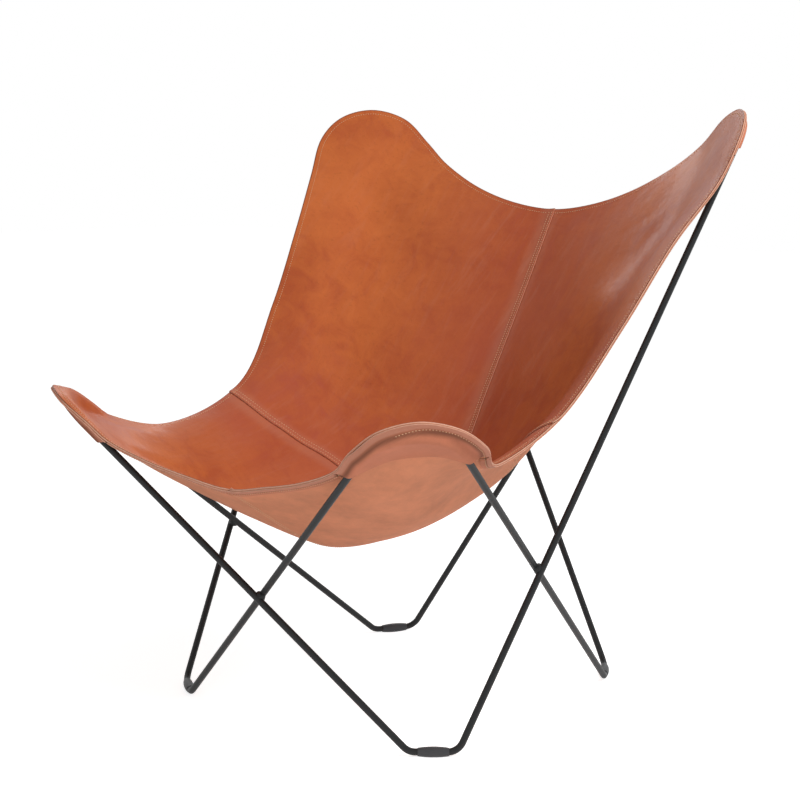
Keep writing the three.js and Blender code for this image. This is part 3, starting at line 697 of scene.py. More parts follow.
def cross_seam(across):
    """Down share of the cross seam at an across share."""
    ramp = smoother_step(*CROSS_SEAM_RAMP_SHARES, np.abs(across))
    return CROSS_SEAM_CENTRE_SHARE + CROSS_SEAM_SIDE_SHARE * ramp


def sling_length(half, across):
    """Length of the sling from its top edge to its front edge at an across share."""
    return half["centre"].total + (half["edge"].total - half["centre"].total) * np.abs(across)


def width_scale(side, down):
    """Millimetres for each unit of the across share, close to the centre line."""
    half = HALVES[side]
    centre = half_point(half, np.zeros_like(down), down)
    beside = half_point(half, np.full_like(down, SMALL_SHARE), down)
    return np.linalg.norm(beside - centre, axis=-1) / SMALL_SHARE


def graded(length, coarse=COARSE_CELL):
    """Places from 0 to length whose spacing is fine at both ends and coarse between."""
    places = [0.0]
    cell = FINE_CELL
    while cell < coarse:
        places.append(places[-1] + cell)
        cell *= CELL_GROWTH
    start = np.array(places)
    end = length - start[::-1]
    count = max(int(round((end[0] - start[-1]) / coarse)), 1)
    middle = np.linspace(start[-1], end[0], count + 1)[1:-1]
    return np.concatenate([start, middle, end])


# Layers of leather where the panels lap, from the lowest up

LAYERS = [("seat", LEFT), ("seat", RIGHT), ("back", LEFT), ("back", RIGHT)]


def skived(thinnest, inside):
    """Share of the full thickness: the thinnest at an edge, all of it a lap's width inside."""
    return thinnest + (1 - thinnest) * smooth_step(0, LAP_WIDTH, inside)


def lap_thickness(part, side, from_centre, past_seam, full):
    """Thickness of one panel at a place, skived under a lap and towards a lapped edge."""
    feather = FEATHER_THICKNESS / full
    inside_centre = side * from_centre + LAP_WIDTH / 2
    inside_seam = past_seam + LAP_WIDTH if part == "seat" else -past_seam
    near_centre = skived(feather if side == LEFT else LAP_EDGE_SHARE, inside_centre)
    near_seam = skived(feather if part == "seat" else LAP_EDGE_SHARE, inside_seam)
    present = smooth_step(-LAP_FADE, 0, inside_centre) * smooth_step(-LAP_FADE, 0, inside_seam)
    return np.maximum(full * near_centre * near_seam, FEATHER_THICKNESS), present


def lap_lift(part, side, from_centre, past_seam, full):
    """How far a panel is lifted by the panels under it."""
    lift = 0.0
    for lower in LAYERS[:LAYERS.index((part, side))]:
        thickness, present = lap_thickness(*lower, from_centre, past_seam, full)
        lift = lift + (thickness + LAYER_GAP) * present
    return lift


# Meshes

def add_node(tree, kind, inputs=None, **settings):
    """Adds a node with its settings; an input is given a value or the socket that feeds it."""
    node = tree.nodes.new(kind)
    for name, value in settings.items():
        setattr(node, name, value)
    for name, value in (inputs or {}).items():
        if isinstance(value, bpy.types.NodeSocket):
            tree.links.new(value, node.inputs[name])
        else:
            node.inputs[name].default_value = value
    return node


def add_object(name, data):
    """Puts a mesh, lamp or camera into the scene."""
    added = bpy.data.objects.new(name, data)
    bpy.context.scene.collection.objects.link(added)
    return added


def make_piece(name, points, faces, materials, face_materials=None, attributes=None):
    """A smooth mesh object from points in millimetres."""
    mesh = bpy.data.meshes.new(name)
    faces = [tuple(map(int, face)) for face in faces]
    mesh.from_pydata((np.asarray(points) * MM).tolist(), [], faces)
    for material in materials:
        mesh.materials.append(material)
    if face_materials is not None:
        mesh.polygons.foreach_set("material_index", np.asarray(face_materials, dtype=np.int32))
    for key, values in (attributes or {}).items():
        layer = mesh.attributes.new(key, "FLOAT", "POINT")
        layer.data.foreach_set("value", np.asarray(values, dtype=np.float32))
    tidy = bmesh.new()
    tidy.from_mesh(mesh)
    bmesh.ops.remove_doubles(tidy, verts=tidy.verts, dist=MERGE_DISTANCE)
    bmesh.ops.recalc_face_normals(tidy, faces=tidy.faces)
    tidy.to_mesh(mesh)
    tidy.free()
    mesh.shade_smooth()
    return add_object(name, mesh)


def grid_faces(rows, columns, start=0):
    """Faces between rows of points, whose numbers begin at start."""
    ids = start + np.arange(rows * columns).reshape(rows, columns)
    corners = [ids[:-1, :-1], ids[:-1, 1:], ids[1:, 1:], ids[1:, :-1]]
    return np.stack(corners, axis=-1).reshape(-1, 4)


def ring_faces(rows, columns):
    """Faces between rows of points that each close into a ring."""
    ids = np.arange(rows * columns).reshape(rows, columns)
    after = np.roll(ids, -1, axis=1)
    return np.stack([ids[:-1], after[:-1], after[1:], ids[1:]], axis=-1).reshape(-1, 4)


def ring_angles(sides):
    """Angles spread evenly once round."""
    return np.linspace(0, 2 * np.pi, sides + 1)[:-1]


def border_ids(rows, columns):
    """The border of a grid of points, once round."""
    ids = np.arange(rows * columns).reshape(rows, columns)
    return np.concatenate([ids[0, :-1], ids[:-1, -1], ids[-1, :0:-1], ids[:0:-1, 0]])


def distance_to_line(points, line):
    """Distance from each point to a run of points joined by straight lines."""
    flat = points.reshape(-1, 3)
    nearest = np.full(len(flat), np.inf)
    for start, end in zip(line, line[1:]):
        step = end - start
        share = np.clip((flat - start) @ step / max(step @ step, NO_LENGTH), 0, 1)
        away = np.linalg.norm(flat - start - share[:, None] * step, axis=1)
        nearest = np.minimum(nearest, away)
    return nearest.reshape(points.shape[:-1])


def sheet_mesh(name, upper, lower, materials, attributes):
    """Closed sheet between two grids of points: grain side, flesh side and cut edge."""
    rows, columns = upper.shape[:2]
    count = rows * columns
    top = grid_faces(rows, columns)
    bottom = grid_faces(rows, columns, count)[:, ::-1]
    border = border_ids(rows, columns)
    after = np.roll(border, -1)
    wall = np.stack([border + count, after + count, after, border], axis=-1)
    points = np.concatenate([upper.reshape(-1, 3), lower.reshape(-1, 3)])
    faces = np.concatenate([top, bottom, wall])
    kinds = np.repeat([GRAIN_FACE, FLESH_FACE, EDGE_FACE], [len(top), len(bottom), len(wall)])
    doubled = {key: np.tile(values.ravel(), 2) for key, values in attributes.items()}
    return make_piece(name, points, faces, materials, kinds, doubled)


def rounded_edge(points, thickness):
    """Half the thickness at each point of a grid, rounded off towards the grid's border."""
    rows, columns = points.shape[:2]
    border = points.reshape(-1, 3)[border_ids(rows, columns)]
    inside = distance_to_line(points, np.vstack([border, border[:1]]))
    roll = 1 - (1 - np.clip(inside / EDGE_ROUNDING, 0, 1)) ** 2
    return thickness / 2 * (EDGE_FLAT_SHARE + (1 - EDGE_FLAT_SHARE) * np.sqrt(roll))


def panel_grid(part, side):
    """Shares and places of a panel's grid, from the lap at the centre to the side edge."""
    half = HALVES[side]
    reach = graded(PANEL_WIDTH + LAP_WIDTH / 2) - LAP_WIDTH / 2
    seam_length = CROSS_SEAM_CENTRE_SHARE * half["centre"].total
    if part == "back":
        row_shares = graded(seam_length) / seam_length
        centre_down = row_shares * CROSS_SEAM_CENTRE_SHARE
    else:
        seat_length = half["centre"].total - seam_length + LAP_WIDTH
        row_shares = graded(seat_length) / seat_length
        centre_down = 1 - (1 - row_shares) * seat_length / half["centre"].total
    scale = width_scale(side, centre_down)[:, None]
    even = smooth_step(EVEN_CELLS_FROM, EVEN_CELLS_TO, reach)[None, :]
    across = reach[None, :] / scale * (1 - even) + reach[None, :] / PANEL_WIDTH * even
    across[:, -1] = 1.0
    seam = cross_seam(across)
    length = sling_length(half, across)
    if part == "back":
        down = row_shares[:, None] * seam
    else:
        start = seam - LAP_WIDTH / length
        down = start + (1 - start) * row_shares[:, None]
        notch = CENTRE_NOTCH_DEPTH * np.exp(-(reach / CENTRE_NOTCH_HALF_WIDTH) ** 2)
        near_front = smooth_step(CENTRE_NOTCH_FROM, 1.0, row_shares)
        down = down - notch[None, :] / length * near_front[:, None]
    from_centre = side * reach[None, :] * np.ones_like(across)
    past_seam = (down - seam) * length
    return across, down, from_centre, past_seam


def panel_levels(part, side, from_centre, past_seam):
    """Thickness and middle level of a panel, counted from the middle of the sling."""
    full = leather().thickness / MM
    thickness, _ = lap_thickness(part, side, from_centre, past_seam, full)
    lift = lap_lift(part, side, from_centre, past_seam, full)
    return thickness, lift - full / 2 + thickness / 2


def free_edge(part, points):
    """The part of a panel's border that is an edge of the sling."""
    if part == "back":
        return np.vstack([points[0], points[1:, -1]])
    return np.vstack([points[:, -1], points[-1, ::-1][1:]])


def build_panel(part, side):
    """One main panel, with the distances that its material reads."""
    across, down, from_centre, past_seam = panel_grid(part, side)
    middle, normal = sling_at(side, across, down)
    thickness, level = panel_levels(part, side, from_centre, past_seam)
    half_thickness = rounded_edge(middle, thickness)
    upper = middle + normal * (level + half_thickness)[..., None]
    lower = middle + normal * (level - half_thickness)[..., None]
    from_seam = np.abs(past_seam)
    # Distances that the material reads, also for painted shade near the seams, painted fold shade
    # on the back panels and a painted sheen beside the seams.
    attributes = {
        "rim_distance": distance_to_line(middle, free_edge(part, middle)),
        "seam_distance": np.minimum(np.abs(from_centre), from_seam),
        "fold_shade_distance": from_seam if part == "back" else np.full_like(from_seam, FREE_OF_FOLD_SHADE),
    }
    name = f"{part}_panel_{SIDE_NAMES[side]}_leather"
    materials = [grain_leather(), flesh_side(), cut_edge()]
    return sheet_mesh(name, upper, lower, materials, attributes)


# Pockets and facings

def pocket_shares(where, half, inwards, round_share):
    """Shares of a pocket's grid: its outer row follows the rim, its inner row is the mouth."""
    if where == "back":
        along_curve = BACK_POCKET_ALONG_TOP / half["top"].total
        along_side = BACK_POCKET_ALONG_SIDE / half["edge"].total
    else:
        along_curve = FRONT_POCKET_ALONG_FRONT / half["front"].total
        along_side = FRONT_POCKET_ALONG_SIDE / half["edge"].total
    rim_curve = along_curve * np.maximum(1 - 2 * round_share, 0)
    rim_side = along_side * np.maximum(2 * round_share - 1, 0)
    mouth_curve = along_curve * (1 - round_share)
    mouth_side = along_side * round_share
    from_tip = rim_curve + (mouth_curve - rim_curve) * inwards
    from_end = rim_side + (mouth_side - rim_side) * inwards
    return 1 - from_tip, from_end if where == "back" else 1 - from_end


def lining_mesh(name, middle, normal, thickness, attributes):
    """A closed piece of the thinner leather, by its middle."""
    half_thickness = rounded_edge(middle, thickness)[..., None]
    upper = middle + normal * half_thickness
    lower = middle - normal * half_thickness
    return sheet_mesh(
        name, upper, lower, [lining_split(), lining_split(), cut_edge()], attributes)


def build_pocket(where, side):
    """A pocket: sewn to the rim, round the ear's rod from below, and open at its mouth."""
    half = HALVES[side]
    ear = half[f"{where}_ear"]
    rows = graded(POCKET_DEPTH, LINING_CELL) / POCKET_DEPTH
    columns = graded(POCKET_WIDTH, LINING_CELL) / POCKET_WIDTH
    inwards, round_share = np.meshgrid(rows, columns, indexing="ij")
    across, down = pocket_shares(where, half, inwards, round_share)
    height, in_plane = in_ear_plane(ear, half_point(half, across, down))
    thickness = leather().pocket_thickness / MM
    below = leather().thickness / MM / 2 + thickness / 2 + LAYER_GAP
    clear = ROD_DIAMETER / 2 + ASSEMBLY_GAP + thickness / 2
    past_rod = distance_past_ear_rod(ear, in_plane)
    outside = over_rod(past_rod, clear, math.radians(POCKET_RIM_LEANS[where]))
    inside = over_rod(-past_rod, clear, math.radians(POCKET_LEAN))
    level = -smooth_larger(below - height, np.where(past_rod > 0, outside, inside))
    middle = in_plane + level[..., None] * ear["normal"]
    from_rim = distance_to_line(middle, middle[0])
    # The mask below paints shade in a band inside the rim, where the pocket dips.
    attributes = {
        "rim_distance": from_rim,
        "groove_shade": np.exp(-((from_rim - GROOVE_SHADE_INSET) / GROOVE_SHADE_HALF_WIDTH) ** 2),
    }
    name = f"ear_pocket_{where}_{SIDE_NAMES[side]}_leather"
    return lining_mesh(name, middle, ear["normal"], thickness, attributes)


def facing_shares(where, half, width):
    """Shares of a facing's grid, from the free edge inwards, between two pockets' ends."""
    inwards = graded(width, LINING_CELL)
    if where == "side":
        total = half["edge"].total
        first = BACK_POCKET_ALONG_SIDE + FACING_OFF_POCKET
        last = total - FRONT_POCKET_ALONG_SIDE - FACING_OFF_POCKET
        down = np.linspace(first, last, SIDE_FACING_STEPS) / total
        edge = half_point(half, np.ones_like(down), down)
        inner = half_point(half, np.full_like(down, 1 - SMALL_SHARE), down)
        scale = np.linalg.norm(edge - inner, axis=-1) / SMALL_SHARE
        across = 1 - inwards[None, :] / scale[:, None]
        return across, down[:, None] * np.ones_like(across)
    curve = half["top"] if where == "top" else half["front"]
    pocket = BACK_POCKET_ALONG_TOP if where == "top" else FRONT_POCKET_ALONG_FRONT
    last = 1 - (pocket + FACING_OFF_POCKET) / curve.total
    across = np.linspace(0, last, END_FACING_STEPS)
    length = sling_length(half, across)
    down = inwards[None, :] / length[:, None]
    return across[:, None] * np.ones_like(down), down if where == "top" else 1 - down


def build_facing(where, side):
    """A strip sewn under a free edge of the sling."""
    across, down = facing_shares(where, HALVES[side], leather().facing_width / MM)
    middle, normal = sling_at(side, across, down)
    thickness = leather().facing_thickness / MM
    middle = middle - normal * (leather().thickness / MM / 2 + LAYER_GAP + thickness / 2)
    attributes = {"rim_distance": distance_to_line(middle, middle[:, 0])}
    name = f"edge_facing_{where}_{SIDE_NAMES[side]}_leather"
    return lining_mesh(name, middle, normal, thickness, attributes)


# The scene's settings, as the operators read them

def rods():
    return bpy.context.scene.sling_chair_rods


def glides():
    return bpy.context.scene.sling_chair_glides


def leather():
    return bpy.context.scene.sling_chair_leather


def thread():
    return bpy.context.scene.sling_chair_thread


def stage_settings():
    return bpy.context.scene.sling_chair_stage


# Geometry Nodes: bent rods and rows of stitches

def path_object(name, runs, cyclic=False, ups=None):
    """Runs of joined points, and their normals, as the base of a Geometry Nodes piece."""
    points, edges = [], []
    for run in runs:
        start, end = len(points), len(points) + len(run)
        edges += [(i, i + 1) for i in range(start, end - 1)]
        if cyclic:
            edges.append((end - 1, start))
        points += (np.asarray(run) * MM).tolist()
    mesh = bpy.data.meshes.new(name)
    mesh.from_pydata(points, edges, [])
    if ups is not None:
        layer = mesh.attributes.new("up", "FLOAT_VECTOR", "POINT")
        layer.data.foreach_set("vector", np.concatenate(ups).astype(np.float32).ravel())
    return add_object(name, mesh)


def new_tree(name, sockets):
    """A Geometry Nodes tree with a geometry socket and named inputs."""
    tree = bpy.data.node_groups.new(name, "GeometryNodeTree")
    tree.interface.new_socket("Geometry", in_out="INPUT", socket_type="NodeSocketGeometry")
    tree.interface.new_socket("Geometry", in_out="OUTPUT", socket_type="NodeSocketGeometry")
    for socket_name, kind in sockets:
        tree.interface.new_socket(socket_name, in_out="INPUT", socket_type=kind)
    return tree


def run_tree(base, tree, values, name):
    """Runs a tree on a base object and returns its result as a plain mesh object."""
    modifier = base.modifiers.new(tree.name, "NODES")
    modifier.node_group = tree
    for item in tree.interface.items_tree:
        if item.in_out == "INPUT" and item.name in values:
            modifier[item.identifier] = values[item.name]
    graph = bpy.context.evaluated_depsgraph_get()
    mesh = bpy.data.meshes.new_from_object(base.evaluated_get(graph))
    mesh.name = name
    mesh.shade_smooth()
    base_mesh = base.data
    bpy.data.objects.remove(base)
    bpy.data.meshes.remove(base_mesh)
    return add_object(name, mesh)


def bent_rod_tree():
    """A round rod along a path."""
    tree = new_tree("Bent rod", [
        ("Radius", "NodeSocketFloat"), ("Sides", "NodeSocketInt"),
        ("Material", "NodeSocketMaterial")])
    given = add_node(tree, "NodeGroupInput").outputs
    path = add_node(tree, "GeometryNodeMeshToCurve", {"Mesh": given["Geometry"]})
    section = add_node(tree, "GeometryNodeCurvePrimitiveCircle", {
        "Resolution": given["Sides"], "Radius": given["Radius"]})
    rod = add_node(tree, "GeometryNodeCurveToMesh", {
        "Curve": path.outputs["Curve"], "Profile Curve": section.outputs["Curve"]})
    coated = add_node(tree, "GeometryNodeSetMaterial", {
        "Geometry": rod.outputs["Mesh"], "Material": given["Material"]})
    add_node(tree, "NodeGroupOutput", {"Geometry": coated.outputs["Geometry"]})
    return tree


def stitch_tree():
    """Rows of stitches along paths that carry the surface's normal."""
    tree = new_tree("Stitch row", [
        ("Pitch", "NodeSocketFloat"), ("Length", "NodeSocketFloat"),
        ("Thickness", "NodeSocketFloat"), ("Material", "NodeSocketMaterial")])
    given = add_node(tree, "NodeGroupInput").outputs
    path = add_node(tree, "GeometryNodeMeshToCurve", {"Mesh": given["Geometry"]})
    spots = add_node(tree, "GeometryNodeResampleCurve", {
        "Curve": path.outputs["Curve"], "Length": given["Pitch"]}, mode="LENGTH")
    tangent = add_node(tree, "GeometryNodeInputTangent")
    up = add_node(
        tree, "GeometryNodeInputNamedAttribute", {"Name": "up"}, data_type="FLOAT_VECTOR")
    along_path = add_node(tree, "FunctionNodeAlignRotationToVector", {
        "Vector": tangent.outputs["Tangent"]}, axis="X")
    facing_up = add_node(tree, "FunctionNodeAlignRotationToVector", {
        "Rotation": along_path.outputs["Rotation"], "Vector": up.outputs["Attribute"]},
        axis="Z", pivot_axis="X")
    bead = add_node(tree, "GeometryNodeMeshUVSphere", {"Segments": 8, "Rings": 6, "Radius": 0.5})
    size = add_node(tree, "ShaderNodeCombineXYZ", {
        "X": given["Length"], "Y": given["Thickness"], "Z": given["Thickness"]})
    stitch = add_node(tree, "GeometryNodeTransform", {
        "Geometry": bead.outputs["Mesh"], "Scale": size.outputs["Vector"]})
    placed = add_node(tree, "GeometryNodeInstanceOnPoints", {
        "Points": spots.outputs["Curve"], "Instance": stitch.outputs["Geometry"],
        "Rotation": facing_up.outputs["Rotation"]})
    real = add_node(
        tree, "GeometryNodeRealizeInstances", {"Geometry": placed.outputs["Instances"]})
    waxed = add_node(tree, "GeometryNodeSetMaterial", {
        "Geometry": real.outputs["Geometry"], "Material": given["Material"]})
    add_node(tree, "NodeGroupOutput", {"Geometry": waxed.outputs["Geometry"]})
    return tree


# Stitch rows: runs of points on the leather

def landed(run, tree):
    """A run's points moved onto the nearest places of a surface, with the normals there."""
    found = [tree.find_nearest(Vector(point))[:2] for point in run]
    return np.array([spot for spot, _ in found]), np.array([normal for _, normal in found])


def passed_through(points, normals, tree):
    """Where a row comes out under the leather: the last face on the way down from each point."""
    spots, downs = [], []
    for point, normal in zip(points, normals):
        below = Vector(point - normal * NEEDLE_REACH)
        spot, down, _, _ = tree.ray_cast(below, Vector(normal), NEEDLE_REACH)
        if spot is not None:
            spots.append(spot)
            downs.append(down)
    return np.array(spots).reshape(-1, 3), np.array(downs).reshape(-1, 3)


def surface(pieces, kind):
    """The faces of one kind of some leather pieces, in millimetres, for laying stitches on."""
    points, faces = [], []
    for piece in pieces:
        start = len(points)
        points += [vertex.co / MM for vertex in piece.data.vertices]
        faces += [tuple(start + i for i in face.vertices) for face in piece.data.polygons
                  if face.material_index == kind]
    return BVHTree.FromPolygons(points, faces)


def leather_pieces():
    """Every leather piece made so far."""
    return [piece for piece in bpy.data.objects if piece.name.endswith("_leather")]


def inset_from_edge(line, normals, inset, side_sign):
    """A run of points set in from an edge, along the surface."""
    tangents = np.gradient(line, axis=0)
    inwards = np.cross(normals, tangents) * side_sign
    return line + inset * inwards / np.linalg.norm(inwards, axis=1, keepdims=True)


def even_run(points):
    """The same run with evenly spaced points."""
    curve = EdgeCurve(np.asarray(points))
    return curve.at(np.linspace(0, 1, max(int(curve.total / ROW_POINT_SPACING), 2)))


def rim_row(part, side, inset):
    """The row inside a panel's free edges, up to the lap at the centre."""
    ones = np.ones(RIM_ROW_POINTS)
    if part == "back":
        first = np.stack([np.linspace(0, 1, RIM_ROW_POINTS), 0 * ones], axis=1)
        second = np.stack([ones, np.linspace(0, cross_seam(1.0), RIM_ROW_POINTS)], axis=1)
    else:
        first = np.stack([ones, np.linspace(cross_seam(1.0), 1, RIM_ROW_POINTS)], axis=1)
        second = np.stack([np.linspace(1, 0, RIM_ROW_POINTS), ones], axis=1)
    across, down = np.vstack([first, second[1:]]).T
    half = HALVES[side]
    row = inset_from_edge(
        half_point(half, across, down), half_normal(half, across, down), inset, -side)
    return row[np.abs(row[:, 0]) > LAP_WIDTH / 2 + RIM_ROW_OFF_LAP]


def centre_rows(part, side, inset):
    """The rows that hold the lap at the centre, on the upper half."""
    rim_share = inset / HALVES[side]["centre"].total
    if part == "back":
        reach = (rim_share, CROSS_SEAM_CENTRE_SHARE - ROW_STOPS_SHORT[part])
    else:
        reach = (CROSS_SEAM_CENTRE_SHARE + ROW_STOPS_SHORT[part], 1 - rim_share)
    down = np.linspace(*reach, SEAM_ROW_POINTS)
    for inside in CENTRE_SEAM_ROWS:
        yield sling_at(side, -(LAP_WIDTH / 2 - inside) / width_scale(side, down), down)[0]


def cross_rows(side, inset):
    """The rows that hold the lap of the back over the seat."""
    lap_share = LAP_WIDTH / 2 / PANEL_WIDTH
    start = lap_share if side == LEFT else -lap_share
    across = np.linspace(start, 1 - inset / PANEL_WIDTH, SEAM_ROW_POINTS)
    for inside in CROSS_SEAM_ROWS:
        down = cross_seam(across) - inside / sling_length(HALVES[side], across)
        yield sling_at(side, across, down)[0]


def stitch_rows(part, side):
    """The stitch rows of one panel, as even runs of points near its surface."""
    inset = thread().edge_inset / MM
    rows = [rim_row(part, side, inset)]
    if side == RIGHT:
        rows += centre_rows(part, side, inset)
    if part == "back":
        rows += cross_rows(side, inset)
    return [even_run(row) for row in rows]


# Materials

def material_tree(name):
    """A new material and its empty node tree."""
    material = bpy.data.materials.new(name)
    material.use_nodes = True
    material.node_tree.nodes.clear()
    return material, material.node_tree


def finish_material(tree, shader):
    """Gives a material the shader that it shows."""
    add_node(tree, "ShaderNodeOutputMaterial", {"Surface": shader.outputs[0]})


def set_stops(ramp, *stops):
    """Gives a colour ramp its places and colours, from the lowest place to the highest."""
    elements = ramp.color_ramp.elements
    elements[0].position, elements[0].color = stops[0]
    elements[1].position, elements[1].color = stops[-1]
    for place, colour in stops[1:-1]:
        elements.new(place).color = colour


def colour4(colour, factor=1.0):
    """A colour made lighter or darker by a factor, with full alpha."""
    return (*(min(c * factor, 1.0) for c in colour), 1.0)


MADE_MATERIALS = {}


def finish(name):
    """Turns a function that wires a shader into one that gives its material, made only once."""
    def made_of(wire):
        def give():
            if name not in MADE_MATERIALS:
                material, tree = material_tree(name)
                place = add_node(tree, "ShaderNodeTexCoord").outputs["Object"]
                finish_material(tree, wire(tree, place))
                MADE_MATERIALS[name] = material
            return MADE_MATERIALS[name]
        return give
    return made_of


def nearness(tree, name, near, far, most=1.0):
    """Most where a distance that the mesh carries is small, falling to zero where it is large."""
    distance = add_node(tree, "ShaderNodeAttribute", attribute_name=name)
    share = add_node(tree, "ShaderNodeMapRange", {
        "Value": distance.outputs["Fac"], "From Min": near, "From Max": far,
        "To Min": most, "To Max": 0.0}, interpolation_type="SMOOTHSTEP")
    return share.outputs["Result"]


def strength(tree, noise, start, full, most, within=None):
    """How strongly the marks of a noise show, from its start value to its full one."""
    share = add_node(tree, "ShaderNodeMapRange", {
        "Value": noise.outputs["Fac"], "From Min": start, "From Max": full,
        "To Max": most}).outputs["Result"]
    if within is None:
        return share
    return add_node(tree, "ShaderNodeMath", {0: share, 1: within},
                    operation="MULTIPLY").outputs[0]


def tinted(tree, colour, tints):
    """A colour with tints laid over it in order, each by its own share."""
    for share, tint in tints:
        colour = add_node(tree, "ShaderNodeMixRGB", {
            "Fac": share, "Color1": colour, "Color2": tint}).outputs["Color"]
    return colour


def per_metre(millimetres):
    """Noise scale whose pattern repeats about every so many millimetres."""
    return 1 / (millimetres * MM)


def hide_marks(tree, place, clouds, base):
    """The marks in the grain side, as shares and tints: specks, draw marks and pulls, with painted
    shade near the seams, painted fold shade and a painted sheen beside the seams.
    """
    specks = add_node(tree, "ShaderNodeTexNoise", {
        "Vector": place, "Scale": per_metre(6), "Detail": 5.0, "Roughness": 0.7})
    lengthwise = add_node(tree, "ShaderNodeMapping", {"Vector": place, "Scale": (1.0, 0.12, 0.12)})
    draw_marks = add_node(tree, "ShaderNodeTexNoise", {
        "Vector": lengthwise.outputs["Vector"], "Scale": per_metre(11), "Detail": 5.0,
        "Roughness": 0.6, "Distortion": 0.4})
    leaning = add_node(tree, "ShaderNodeMapping", {
        "Vector": place, "Rotation": (0.0, math.radians(18), 0.0), "Scale": (1.0, 9.0, 9.0)},
        vector_type="TEXTURE")
    pulls = add_node(tree, "ShaderNodeTexNoise", {
        "Vector": leaning.outputs["Vector"], "Scale": per_metre(15), "Detail": 4.0,
        "Roughness": 0.65, "Distortion": 0.25})
    # Crosswise noise for the painted fold shade.
    crosswise = add_node(tree, "ShaderNodeMapping", {"Vector": place, "Scale": (0.3, 1.0, 1.0)})
    fold_shade = add_node(tree, "ShaderNodeTexNoise", {
        "Vector": crosswise.outputs["Vector"], "Scale": per_metre(30), "Detail": 4.0,
        "Roughness": 0.55, "Distortion": 0.5})
    by_seam = nearness(tree, "seam_distance", 15.0, 230.0)
    # Painted fold shade, at most three quarters strong, fading out 240 mm from the cross seam on
    # the back panels.
    fold_shade_reach = nearness(tree, "fold_shade_distance", 70.0, 240.0, 0.75)
    # Painted shade: darker towards the seams, broken up by the clouds.
    seam_shade = add_node(tree, "ShaderNodeMath", {
        0: nearness(tree, "seam_distance", 12.0, 230.0, 1.2), 1: clouds.outputs["Fac"]},
        operation="MULTIPLY")
    return [
        (strength(tree, specks, 0.56, 0.74, 0.3), colour4(base, 0.4)),
        # Painted shade near the seams.
        (seam_shade.outputs[0], BLUSH),
        # Painted fold shade: dark bands above the cross seam on the back panels.
        (strength(tree, fold_shade, 0.52, 0.68, 1.0, fold_shade_reach), BLUSH),
        (strength(tree, pulls, 0.47, 0.34, 0.45, by_seam), BLUSH),
        (strength(tree, pulls, 0.55, 0.68, 0.13, by_seam), PALE_PINK),
        (strength(tree, draw_marks, 0.52, 0.72, 0.07), PALE_PINK),
        (strength(tree, draw_marks, 0.46, 0.3, 0.1), BLUSH),
        (nearness(tree, "rim_distance", 0.8, 2.6), colour4(base, 0.45)),
        # Painted sheen in a strip beside the seams.
        (nearness(tree, "seam_distance", 7.0, 26.0, 0.2), PALE_PINK),
    ]


def hide_bumps(tree, place):
    """Bumps of the grain side: long soft waves, and with them the creases and pores."""
    pores = add_node(tree, "ShaderNodeTexVoronoi", {
        "Vector": place, "Scale": per_metre(1.6), "Randomness": 1.0})
    creases = add_node(tree, "ShaderNodeTexNoise", {
        "Vector": place, "Scale": per_metre(7), "Detail": 6.0, "Roughness": 0.62})
    grain = add_node(tree, "ShaderNodeMixRGB", {
        "Fac": 0.5, "Color1": creases.outputs["Fac"], "Color2": pores.outputs["Distance"]})
    swell = add_node(tree, "ShaderNodeTexNoise", {
        "Vector": place, "Scale": per_metre(48), "Detail": 3.0, "Roughness": 0.5})
    waves = add_node(tree, "ShaderNodeBump", {
        "Height": swell.outputs["Fac"], "Strength": 0.5, "Distance": 4 * MM})
    fine = add_node(tree, "ShaderNodeBump", {
        "Height": grain.outputs["Color"], "Strength": 0.25, "Distance": 0.5 * MM,
        "Normal": waves.outputs["Normal"]})
    return waves, fine


@finish("vegetable_tanned_hide_waxed")
def grain_leather(tree, place):
    """Vegetable-tanned cow hide, aniline dyed and waxed: warm uneven colour, pores, soft gloss."""
    base = leather().grain_colour
    clouds = add_node(tree, "ShaderNodeTexNoise", {
        "Vector": place, "Scale": per_metre(170), "Detail": 3.0, "Roughness": 0.55})
    mottle = add_node(tree, "ShaderNodeTexNoise", {
        "Vector": place, "Scale": per_metre(46), "Detail": 7.0, "Roughness": 0.66,
        "Distortion": 0.8})
    tone = add_node(tree, "ShaderNodeMixRGB", {
        "Fac": 0.45, "Color1": clouds.outputs["Fac"], "Color2": mottle.outputs["Fac"]})
    ramp = add_node(tree, "ShaderNodeValToRGB", {"Fac": tone.outputs["Color"]})
    set_stops(ramp,
              (0.4, colour4((base[0] * 0.84, base[1] * 0.72, base[2] * 0.8))),
              (0.5, colour4(base)),
              (0.62, colour4((base[0] * 1.12, base[1] * 1.2, base[2] * 1.2))))
    coloured = tinted(tree, ramp.outputs["Color"], hide_marks(tree, place, clouds, base))
    rough = add_node(tree, "ShaderNodeMapRange", {
        "Value": mottle.outputs["Fac"], "From Min": 0.3, "From Max": 0.7,
        "To Min": 0.58, "To Max": 0.7})
    waves, fine = hide_bumps(tree, place)
    return add_node(tree, "ShaderNodeBsdfPrincipled", {
        "Base Color": coloured, "Roughness": rough.outputs["Result"], "IOR": 1.27,
        "Coat Weight": 0.2, "Coat Roughness": 0.27, "Normal": fine.outputs["Normal"],
        "Coat Normal": waves.outputs["Normal"]})


